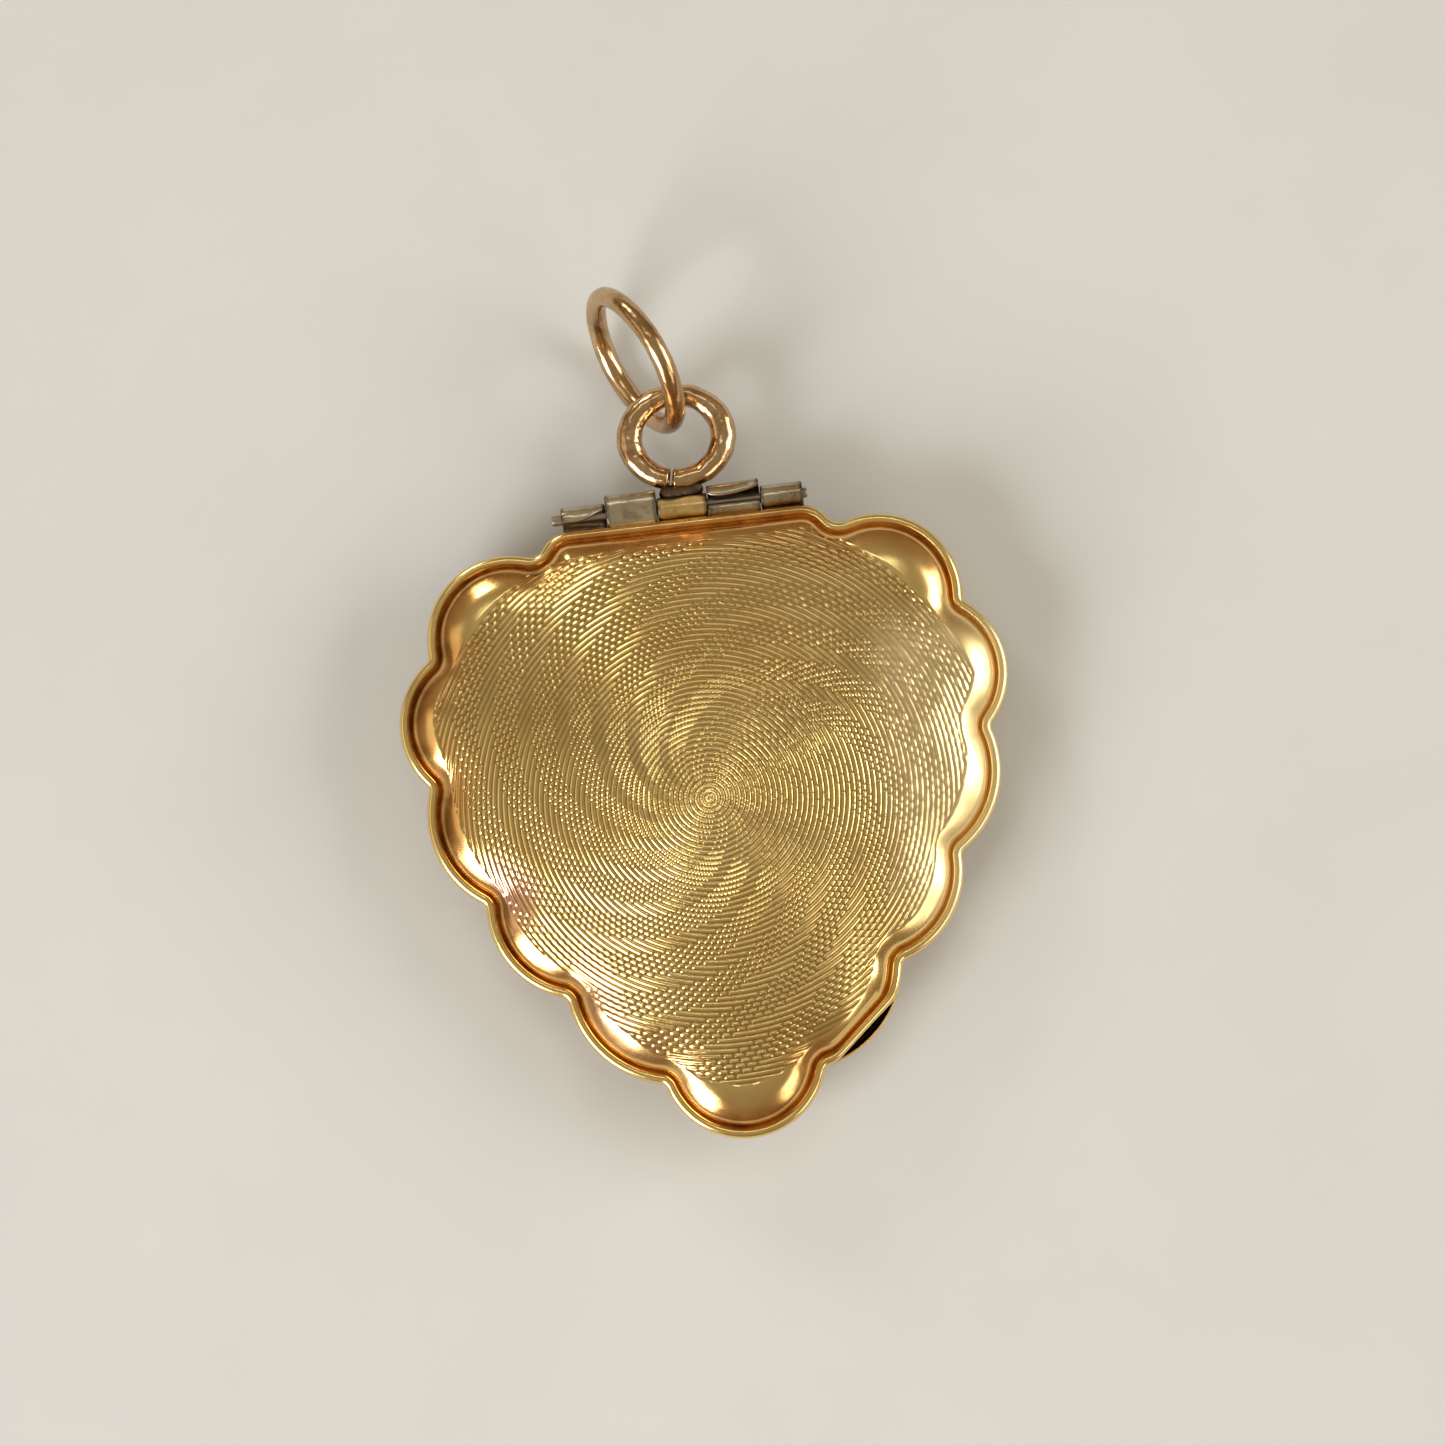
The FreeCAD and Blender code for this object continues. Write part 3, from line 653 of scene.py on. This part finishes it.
# Each path below is a leaf's middle line in (y, z), from under the rim round the pin.
web_back = [(10.98, 2.20), (11.20, 2.16), (11.42, 2.10)]
barrel_path = even_path(np.vstack([web_back, barrel_arc(118)]), 44)
closed_path = even_path(np.vstack([web_back, barrel_arc(188)]), 52)
knuckle_1 = join_sheets("knuckle_one", [
    rolled_sheet(barrel_path, BARREL_SHEET, -4.87, -3.10, first_shape)], rough=0.008, seed=21)
knuckle_5 = join_sheets("knuckle_five", [
    rolled_sheet(closed_path, BARREL_SHEET, 3.18, 4.87)], rough=0.007, seed=22)
folded_path = even_path([(10.98, 2.20), (11.25, 2.14), (11.60, 2.10), (11.92, 2.16),
                         (12.03, 2.45), (11.99, 2.70), (11.84, 2.80), (11.70, 2.85),
                         (11.62, 2.84), (11.42, 2.74), (11.32, 2.62), (11.31, 2.45)], 48)
knuckle_3 = join_sheets("knuckle_three", [
    rolled_sheet(folded_path, 0.21, -0.985, 1.01)], rough=0.008, seed=23, flowed=12.0)
tall_path = even_path([(11.10, 2.66), (11.28, 2.73), (11.50, 2.82), (11.80, 2.885), (12.08, 2.90),
                       (12.26, 2.83), (12.36, 2.64), (12.35, 2.38), (12.24, 2.15), (12.02, 2.03),
                       (11.78, 2.02), (11.56, 2.10), (11.47, 2.24)], 56)
knuckle_2 = join_sheets("knuckle_two", [
    rolled_sheet(tall_path, 0.22, -3.06, -1.02)], rough=0.008, seed=24)


def flap_shape(row, share):
    """The opened far edge of the fourth knuckle: bowed, and lifted at its right end."""
    across = (row[:, 0] - 2.09) / 1.04
    free = smoothstep(0.62, 1.0, share)
    bow = np.sqrt(np.clip(1 - across ** 2, 0.0, 1))
    lip = smoothstep(0.78, 1.0, share)
    row[:, 1] += free * 0.07 * across - lip * 0.20 * (bow - 0.35) * (1 - 0.35 * across)
    row[:, 2] += free * (0.04 * across + 0.04 * bow - 0.03)
    return row


near_leaf = even_path([(11.12, 2.60), (11.22, 2.74), (11.36, 2.86), (11.50, 2.87), (11.58, 2.80)],
                      16)
trough = even_path([(11.26, 2.60), (11.29, 2.34), (11.40, 2.10), (11.66, 1.98), (11.98, 2.00),
                    (12.22, 2.17), (12.33, 2.42), (12.34, 2.68), (12.30, 2.86), (12.20, 2.95),
                    (12.06, 2.98)], 48)
knuckle_4 = join_sheets("knuckle_four", [
    rolled_sheet(near_leaf, 0.16, 1.05, 3.14),
    rolled_sheet(trough, 0.17, 1.05, 3.14, flap_shape)], rough=0.006, seed=25)

# ---------------------------------------------------------------- wire pieces

ACROSS, UPRIGHT = (0.0, 1.0, 0.0), (0.0, 0.0, 1.0)


def tube(name, centres, sides, tops, wide, high, turns, uneven, grain, seed, ends=True):
    """Swept wire with an oval section of turns points, uneven in waves about grain long.

    sides and tops are the section's unit axes, wide and high its half sizes. Without ends, the
    last section joins the first.
    """
    count = len(centres)
    sides, tops = np.broadcast_to(sides, (count, 3)), np.broadcast_to(tops, (count, 3))
    wide, high = np.broadcast_to(wide, count), np.broadcast_to(high, count)
    angle = np.arange(turns) * TAU / turns
    rows = (centres[:, None, :]
            + (wide[:, None] * np.cos(angle))[:, :, None] * sides[:, None, :]
            + (high[:, None] * np.sin(angle))[:, :, None] * tops[:, None, :])
    points = rows.reshape(-1, 3)
    out = points - np.repeat(centres, turns, axis=0)
    out /= np.maximum(np.linalg.norm(out, axis=1, keepdims=True), 1e-9)
    mixed = points[:, :2] + points[:, 2:] * (0.8, -0.6)
    points = points + out * (uneven * waves(mixed, grain, 9, seed)
                             + 0.4 * uneven * waves(mixed, grain * 0.3, 9, seed + 5))[:, None]
    faces = []
    for k in range(count if not ends else count - 1):
        faces.append(ring_quads(k * turns, ((k + 1) % count) * turns, turns))
    if ends:
        for row, flip in ((0, True), (count - 1, False)):
            centre = len(points)
            points = np.vstack([points, points[row * turns:(row + 1) * turns].mean(0)])
            i = np.arange(turns)
            fan = np.column_stack([row * turns + i, row * turns + (i + 1) % turns,
                                   np.full(turns, centre)])
            faces.append(fan[:, ::-1] if flip else fan)
    return make_mesh(name, points, faces)


def end_scale(count, steps=(0.55, 0.80, 0.93, 0.985)):
    """Share of the full section at each station, less at both ends by steps."""
    scale = np.ones(count)
    scale[:len(steps)] = steps
    scale[-len(steps):] = steps[::-1]
    return scale


def end_spacing(first, last, count, inset):
    """Stations that crowd at both ends, so that the cut ends can be rounded."""
    close = inset * np.array([0.0, 0.18, 0.5, 1.0])
    return np.concatenate([first + close, np.linspace(first, last, count)[1:-1],
                           (last - close)[::-1]])


# The soldered ring, thicker at its sides, with its seam at the lower left.
RING_X, RING_Y, RING_HALF_X, RING_HALF_Y = 0.08, 14.52, 1.89, 1.71
SEAM_AT, SEAM_HALF = math.radians(-102.0), 0.020
u = end_spacing(SEAM_AT + SEAM_HALF, SEAM_AT + TAU - SEAM_HALF, 170, 0.04)
centres = np.column_stack([RING_X + RING_HALF_X * np.cos(u), RING_Y + RING_HALF_Y * np.sin(u),
                           np.full(len(u), PARTING_Z)])
tangent = np.column_stack([-RING_HALF_X * np.sin(u), RING_HALF_Y * np.cos(u), np.zeros(len(u))])
tangent /= np.linalg.norm(tangent, axis=1, keepdims=True)
outward = np.column_stack([tangent[:, 1], -tangent[:, 0], tangent[:, 2]])
wide = (0.44 + 0.075 * np.cos(u) ** 2) * end_scale(len(u))
high = 0.475 * end_scale(len(u))
fixed_ring = tube("ring_soldered", centres, outward, UPRIGHT, wide, high, turns=36, uneven=0.016,
                  grain=0.6, seed=31)

# The loose jump ring, standing on edge through it.
JUMP_CENTRE, JUMP_RAD = np.array([-1.19, 17.69, 3.13]), 2.84
jump_normal = np.array([-0.8617, -0.3998, 0.3123])
jump_normal /= np.linalg.norm(jump_normal)
level = np.cross(UPRIGHT, jump_normal)
level /= np.linalg.norm(level)
rising = np.cross(jump_normal, level)
u = np.linspace(0, TAU, 200, endpoint=False)
bulge = 1 + 0.012 * np.cos(4 * u + 0.4)
radial = np.cos(u)[:, None] * level + np.sin(u)[:, None] * rising
centres = JUMP_CENTRE + JUMP_RAD * bulge[:, None] * radial
jump_ring = tube("ring_loose", centres, radial, jump_normal, 0.395, 0.41, turns=32, uneven=0.008,
                 grain=0.8, seed=33, ends=False)

# The pin, with its ends left proud and burred.
x = end_spacing(-5.27, 5.05, 60, 0.06)
centres = np.column_stack([x, AXIS_Y + 0.004 * np.sin(x * 1.3), np.full(len(x), PARTING_Z)])
rad = 0.205 * end_scale(len(x), (0.62, 0.84, 0.95, 0.99))
pin = tube("pin_rod", centres, ACROSS, UPRIGHT, rad, rad, turns=20, uneven=0.006, grain=0.3,
           seed=35)

# Solder run in between the middle knuckle and the ring, thinning out at both ends.
x = np.linspace(-0.86, 0.92, 44)
body = np.clip(1 - np.abs((x - 0.03) / 0.895) ** 3.2, 0.03, 1) ** 0.5
centres = np.column_stack([x, 12.31 + 0.03 * np.sin(x * 2.1), np.full(len(x), 2.40)])
foot = tube("solder_run", centres, ACROSS, UPRIGHT, 0.36 * body, 0.31 * body, turns=28,
            uneven=0.030, grain=0.45, seed=37)

# ---------------------------------------------------------------- materials


class Nodes:
    """A material's node tree, built by short calls."""

    def __init__(self, name):
        self.material = bpy.data.materials.new(name)
        self.material.use_nodes = True
        self.tree = self.material.node_tree
        self.tree.nodes.clear()
        self.output = self.tree.nodes.new("ShaderNodeOutputMaterial")
        self.shader = self.tree.nodes.new("ShaderNodeBsdfPrincipled")
        self.link(self.shader.outputs[0], self.output.inputs[0])
        self.coords = self.tree.nodes.new("ShaderNodeTexCoord").outputs["Object"]

    def link(self, source, target):
        self.tree.links.new(source, target)

    def set(self, socket, value):
        if isinstance(value, bpy.types.NodeSocket):
            self.link(value, socket)
        else:
            socket.default_value = value

    def noise(self, scale, detail=3.0, rough=0.55, distortion=0.0, stretch=None):
        """Noise; stretch is its scale by axis, and its turn about each axis if given."""
        node = self.tree.nodes.new("ShaderNodeTexNoise")
        node.inputs["Scale"].default_value = scale
        node.inputs["Detail"].default_value = detail
        node.inputs["Roughness"].default_value = rough
        node.inputs["Distortion"].default_value = distortion
        source = self.coords
        if stretch:
            mapping = self.tree.nodes.new("ShaderNodeMapping")
            mapping.inputs["Scale"].default_value = stretch[:3]
            if len(stretch) > 3:
                mapping.inputs["Rotation"].default_value = stretch[3:]
            self.link(self.coords, mapping.inputs[0])
            source = mapping.outputs[0]
        self.link(source, node.inputs["Vector"])
        return node.outputs["Fac"]

    def attribute(self, name):
        node = self.tree.nodes.new("ShaderNodeAttribute")
        node.attribute_name = name
        return node.outputs["Fac"]

    def remap(self, value, low, high, to_low=0.0, to_high=1.0):
        node = self.tree.nodes.new("ShaderNodeMapRange")
        self.set(node.inputs["Value"], value)
        for key, number in (("From Min", low), ("From Max", high),
                            ("To Min", to_low), ("To Max", to_high)):
            node.inputs[key].default_value = number
        return node.outputs["Result"]

    def math(self, kind, one, two=0.0):
        node = self.tree.nodes.new("ShaderNodeMath")
        node.operation = kind
        self.set(node.inputs[0], one)
        self.set(node.inputs[1], two)
        return node.outputs[0]

    def mix(self, factor, one, two):
        node = self.tree.nodes.new("ShaderNodeMix")
        node.data_type = "RGBA"
        self.set(node.inputs["Factor"], factor)
        for socket, value in ((node.inputs[6], one), (node.inputs[7], two)):
            self.set(socket, value if isinstance(value, bpy.types.NodeSocket) else (*value, 1.0))
        return node.outputs[2]

    def bump(self, height, strength, distance, after=None):
        node = self.tree.nodes.new("ShaderNodeBump")
        node.inputs["Strength"].default_value = strength
        node.inputs["Distance"].default_value = distance
        self.link(height, node.inputs["Height"])
        if after is not None:
            self.link(after, node.inputs["Normal"])
        return node.outputs["Normal"]

    def finish(self, **inputs):
        for key, value in inputs.items():
            socket = self.shader.inputs[key.replace("_", " ")]
            if isinstance(value, tuple) and len(value) == 3:
                value = (*value, 1.0)
            self.set(socket, value)
        return self.material


# Painted shade for the grooves and the rim's hollow; tarnish with painted shade and reflection; a
# pink film; painted shade and solder at the leaves; a pale painted sheen with wear.
GROOVE_SHADE_BROWN, WARM_ORANGE = (0.30, 0.165, 0.045), (0.74, 0.42, 0.15)
WARM_BROWN, FILM_PINK = (0.38, 0.19, 0.055), (0.66, 0.38, 0.27)
HOLLOW_SHADE_BLACK, SHADE_AND_SOLDER_BLACK = (0.02, 0.014, 0.008), (0.04, 0.028, 0.018)
WEAR_AND_SHEEN_PALE = (0.95, 0.80, 0.50)


def metal(name, light, deep, rough, grain=900.0, scratch=0.25, tarnish=None, tarnish_amount=0.5,
          grooves=False, shade_and_solder=False):
    """Worn metal: two tones in soft patches, spots of tarnish, fine scratches in its gloss.

    rough is its least and most roughness. grooves colours a stamped half by its attributes:
    painted shade in the grooves, tarnish with painted shade and reflection, a pink film, painted
    shade in the rim's hollow, and a pale painted sheen with wear. The last flag darkens a hinge
    leaf by its own
    attribute: painted shade at its ends, and solder where it flowed.
    """
    n = Nodes(name)
    patches = n.remap(n.noise(grain * 0.28, 4.0, 0.6), 0.35, 0.68)
    colour = n.mix(patches, light, deep)
    if tarnish is not None:
        spots = n.remap(n.noise(grain, 6.0, 0.7, 0.4), 0.50, 0.78)
        colour = n.mix(n.math("MULTIPLY", spots, tarnish_amount), colour, tarnish)
    if grooves:
        # Painted shade in the engraved grooves, darker the deeper the cut.
        colour = n.mix(n.math("MULTIPLY", n.attribute("groove_shade"), 0.70), colour, GROOVE_SHADE_BROWN)
        # Warm tarnish together with painted shade and painted reflection: orange, then brown where
        # strongest.
        blotch = n.remap(n.noise(grain * 0.6, 4.0, 0.65, 0.6), 0.35, 0.65, 0.50, 1.15)
        warm = n.math("MULTIPLY", n.attribute("tarnish_and_shade"), blotch)
        colour = n.mix(n.remap(warm, 0.0, 0.5), colour, WARM_ORANGE)
        colour = n.mix(n.remap(warm, 0.5, 1.0), colour, WARM_BROWN)
        colour = n.mix(n.math("MULTIPLY", n.attribute("film"), 0.9), colour, FILM_PINK)
        # Painted shade, black, in the hollow behind the back's thumbnail cut.
        colour = n.mix(n.remap(n.attribute("tarnish_and_shade"), 1.0, 1.5), colour, HOLLOW_SHADE_BLACK)
        # A pale painted sheen, together with wear, over the chattered lobes.
        colour = n.mix(n.math("MULTIPLY", n.attribute("wear_and_sheen"), 0.45), colour, WEAR_AND_SHEEN_PALE)
    # Painted shade at a hinge leaf's ends, and dark solder where it flowed.
    if shade_and_solder:
        colour = n.mix(n.math("MULTIPLY", n.attribute("shade_and_solder"), 0.95), colour, SHADE_AND_SOLDER_BLACK)
    fine = n.noise(grain * 2.2, 3.0, 0.6, stretch=(1.0, 14.0, 1.0, 0.0, 0.0, 0.5))
    across = n.noise(grain * 1.7, 3.0, 0.6, stretch=(12.0, 1.0, 1.0, 0.0, 0.0, -0.35))
    both = n.math("ADD", n.math("MULTIPLY", fine, 0.5), n.math("MULTIPLY", across, 0.5))
    smear = n.noise(grain * 0.5, 4.0, 0.6)
    gloss = n.math("ADD", n.math("MULTIPLY", both, scratch), n.math("MULTIPLY", smear, 0.5))
    roughness = n.remap(gloss, 0.22, 0.62, rough[0], rough[1])
    if grooves:
        roughness = n.math("ADD", roughness, n.math("MULTIPLY", n.attribute("wear_and_sheen"), 0.14))
    normal = n.bump(both, 0.05, 0.00004)
    normal = n.bump(n.noise(grain * 0.35, 2.0), 0.10, 0.00006, normal)
    return n.finish(Base_Color=colour, Metallic=1.0, Roughness=roughness, Normal=normal)


GOLD_LIGHT, GOLD_DEEP = (0.93, 0.715, 0.31), (0.86, 0.61, 0.24)
# The stamped halves carry painted shade and painted reflection in their colour, besides tarnish
# and wear.
gold_case = metal("gold_case_worn_and_shaded", GOLD_LIGHT, GOLD_DEEP, (0.13, 0.26), scratch=0.3, grooves=True)
gold_back = metal("gold_back_worn_and_shaded", GOLD_LIGHT, GOLD_DEEP, (0.15, 0.32), grain=700.0, scratch=0.5,
                  tarnish=(0.42, 0.22, 0.08), tarnish_amount=0.25, grooves=True)
gold_inner = metal("gold_inner_brushed", (0.84, 0.62, 0.30), (0.70, 0.46, 0.19), (0.28, 0.42))
gold_bezel = metal("gold_bezel_bright", (0.92, 0.70, 0.36), (0.82, 0.56, 0.25), (0.14, 0.24))
# The barrel and nickel materials paint shade at a hinge leaf's ends.
gold_barrel = metal("gold_barrel_worn_and_shaded", (0.80, 0.60, 0.27), (0.60, 0.40, 0.15), (0.22, 0.4),
                    grain=1200.0, scratch=0.5, tarnish=(0.16, 0.09, 0.04), tarnish_amount=0.7,
                    shade_and_solder=True)
rose_gold = metal("rose_gold_worn", (0.72, 0.51, 0.29), (0.46, 0.27, 0.13), (0.09, 0.22),
                  grain=850.0, scratch=0.6, tarnish=(0.26, 0.115, 0.045), tarnish_amount=0.95)
nickel = metal("nickel_tarnished_and_shaded", (0.66, 0.59, 0.45), (0.38, 0.30, 0.19), (0.10, 0.26),
               grain=1000.0, scratch=0.8, tarnish=(0.12, 0.075, 0.035), tarnish_amount=1.0,
               shade_and_solder=True)
steel = metal("steel_dull", (0.36, 0.31, 0.25), (0.22, 0.18, 0.14), (0.35, 0.55), grain=1500.0)
solder = metal("solder_dark", (0.12, 0.085, 0.055), (0.05, 0.033, 0.02), (0.4, 0.6),
               grain=1500.0, scratch=0.4, tarnish=(0.40, 0.30, 0.16), tarnish_amount=0.4)

n = Nodes("card_blank")
fibre = n.noise(2600.0, 5.0, 0.7)
card = n.finish(Base_Color=n.mix(n.remap(fibre, 0.3, 0.7), (0.72, 0.64, 0.50), (0.60, 0.51, 0.37)),
                Roughness=0.85, Normal=n.bump(fibre, 0.25, 0.00003))
n = Nodes("celluloid_clear")
haze = n.noise(500.0, 3.0, 0.6)
celluloid = n.finish(Base_Color=n.mix(haze, (1.0, 0.97, 0.90), (0.97, 0.92, 0.80)),
                     Roughness=n.remap(haze, 0.3, 0.7, 0.03, 0.12), Transmission_Weight=1.0,
                     IOR=1.49)


def dress(piece, material):
    piece.data.materials.clear()
    piece.data.materials.append(material)


def dress_node(name, material):
    """Material of a carried-over CAD node, set on its object."""
    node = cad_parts[name]
    if not node.material_slots:
        node.data.materials.append(material)
    for slot in node.material_slots:
        slot.link = "OBJECT"
        slot.material = material


def settle(piece, body, slot_name, material, *nodes):
    dress(piece, material)
    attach(piece, body)
    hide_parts(*nodes)


settle(cover, "cover", "gold_case", gold_case, "front_shell")
settle(back, "case", "gold_case", gold_back, "back_shell")
settle(knuckle_1, "case", "nickel", nickel, "knuckle_1")
settle(knuckle_2, "cover", "nickel", nickel, "knuckle_2")
settle(knuckle_3, "case", "gold_barrel", gold_barrel, "knuckle_3")
settle(knuckle_4, "cover", "nickel", nickel, "knuckle_4")
settle(knuckle_5, "case", "nickel", nickel, "knuckle_5")
settle(pin, "case", "steel_pin", steel, "hinge_pin")
settle(fixed_ring, "case", "rose_gold", rose_gold, "fixed_ring")
settle(foot, "case", "solder", solder, "ring_foot")
settle(jump_ring, "loose_ring", "rose_gold", rose_gold, "jump_ring")
for node_name, finish in (
        ("back_frame", gold_inner), ("front_frame", gold_inner), ("snap_band", gold_inner),
        ("back_bezel", gold_bezel), ("front_bezel", gold_bezel),
        ("back_lens", celluloid), ("front_lens", celluloid),
        ("back_card", card), ("front_card", card)):
    dress_node(node_name, finish)

# ---------------------------------------------------------------- stage, lights, camera

n = Nodes("floor_pale")
mottle = n.noise(60.0, 4.0, 0.6)
floor_tone = n.mix(n.remap(mottle, 0.3, 0.7), (0.60, 0.61, 0.62), (0.57, 0.58, 0.59))
floor_paint = n.finish(Base_Color=floor_tone, Roughness=0.9,
                       Normal=n.bump(n.noise(3000.0, 3.0), 0.1, 0.00003))
FLOOR_HALF = 600.0
corners = [(x * FLOOR_HALF, y * FLOOR_HALF, 0) for x, y in ((-1, -1), (1, -1), (1, 1), (-1, 1))]
floor = make_mesh("floor", corners, [[(0, 1, 2, 3)]], smooth=False)
dress(floor, floor_paint)

LIGHT_AIM = (0, 1, 3)


def area_light(name, azimuth, elevation, distance, width, height, watts, colour):
    """Soft box, aimed at the locket; azimuth in degrees from +X, anticlockwise."""
    lamp = bpy.data.lights.new(name, "AREA")
    lamp.shape = "RECTANGLE"
    lamp.size, lamp.size_y = width * MM, height * MM
    lamp.energy, lamp.color = watts, colour
    box = bpy.data.objects.new(name, lamp)
    around, above = math.radians(azimuth), math.radians(elevation)
    away = Vector((math.cos(around) * math.cos(above), math.sin(around) * math.cos(above),
                   math.sin(above)))
    box.location = (Vector(LIGHT_AIM) + away * distance) * MM
    box.rotation_euler = away.to_track_quat("Z", "Y").to_euler()
    bpy.context.scene.collection.objects.link(box)


area_light("window_left", 218, 29, 420, 230, 240, 1.6, (1.0, 0.99, 0.95))
area_light("window_right", 3, 27, 420, 300, 220, 1.1, (1.0, 0.97, 0.88))
area_light("window_low", -42, 30, 420, 170, 140, 0.22, (1.0, 0.95, 0.86))
area_light("corner_soft", 115, 24, 420, 90, 80, 0.30, (0.94, 1.0, 0.90))
area_light("fill_left", 176, 31, 420, 270, 220, 0.12, (1.0, 0.90, 0.70))
area_light("strip_top", 96, 66, 450, 260, 25, 0.09, (1.0, 0.98, 0.94))

world = bpy.data.worlds.new("studio")
world.use_nodes = True
bpy.context.scene.world = world
sky = world.node_tree
direction = sky.nodes.new("ShaderNodeTexCoord").outputs["Generated"]
split = sky.nodes.new("ShaderNodeSeparateXYZ")
ramp = sky.nodes.new("ShaderNodeValToRGB")
sky.links.new(direction, split.inputs[0])
sky.links.new(split.outputs["Z"], ramp.inputs[0])
sky.links.new(ramp.outputs[0], sky.nodes["Background"].inputs["Color"])
# Colour of the room by the height of the direction, 0 at the horizon and 1 overhead.
SKY_STRENGTH = 0.9
SKY = ((0.0, (0.21, 0.12, 0.055)), (0.30, (0.34, 0.24, 0.135)), (0.60, (0.34, 0.275, 0.18)),
       (0.86, (0.38, 0.33, 0.24)), (1.0, (0.43, 0.375, 0.28)))
ramp.color_ramp.elements[0].color = (*SKY[0][1], 1.0)
ramp.color_ramp.elements[1].color = (*SKY[-1][1], 1.0)
for place, shade in SKY[1:-1]:
    ramp.color_ramp.elements.new(place).color = (*shade, 1.0)
sky.nodes["Background"].inputs["Strength"].default_value = SKY_STRENGTH
bpy.context.scene.view_settings.view_transform = "Standard"

# The camera looks almost straight down, rolled and leaning a little.
ROLL = math.radians(6.39)
TILT_DOWN, TILT_RIGHT = math.radians(4.0), math.radians(2.0)
DISTANCE, FRAME_WIDTH, SENSOR = 230.0, 57.72, 36.0
target = Vector((0.66, 2.84, 3.0))
image_up = Vector((math.sin(ROLL), math.cos(ROLL), 0))
image_right = Vector((math.cos(ROLL), -math.sin(ROLL), 0))
to_camera = (Vector((0, 0, 1)) - image_up * math.tan(TILT_DOWN)
             + image_right * math.tan(TILT_RIGHT)).normalized()
up = (image_up - to_camera * image_up.dot(to_camera)).normalized()
right = up.cross(to_camera)
lens = bpy.data.cameras.new("camera")
lens.sensor_width = SENSOR
lens.lens = SENSOR * DISTANCE / FRAME_WIDTH
lens.clip_start, lens.clip_end = 0.01, 10.0
camera = bpy.data.objects.new("camera", lens)
camera.matrix_world = Matrix([
    (right[i], up[i], to_camera[i], (target[i] + to_camera[i] * DISTANCE) * MM)
    for i in range(3)] + [(0, 0, 0, 1)])
bpy.context.scene.collection.objects.link(camera)
bpy.context.scene.camera = camera
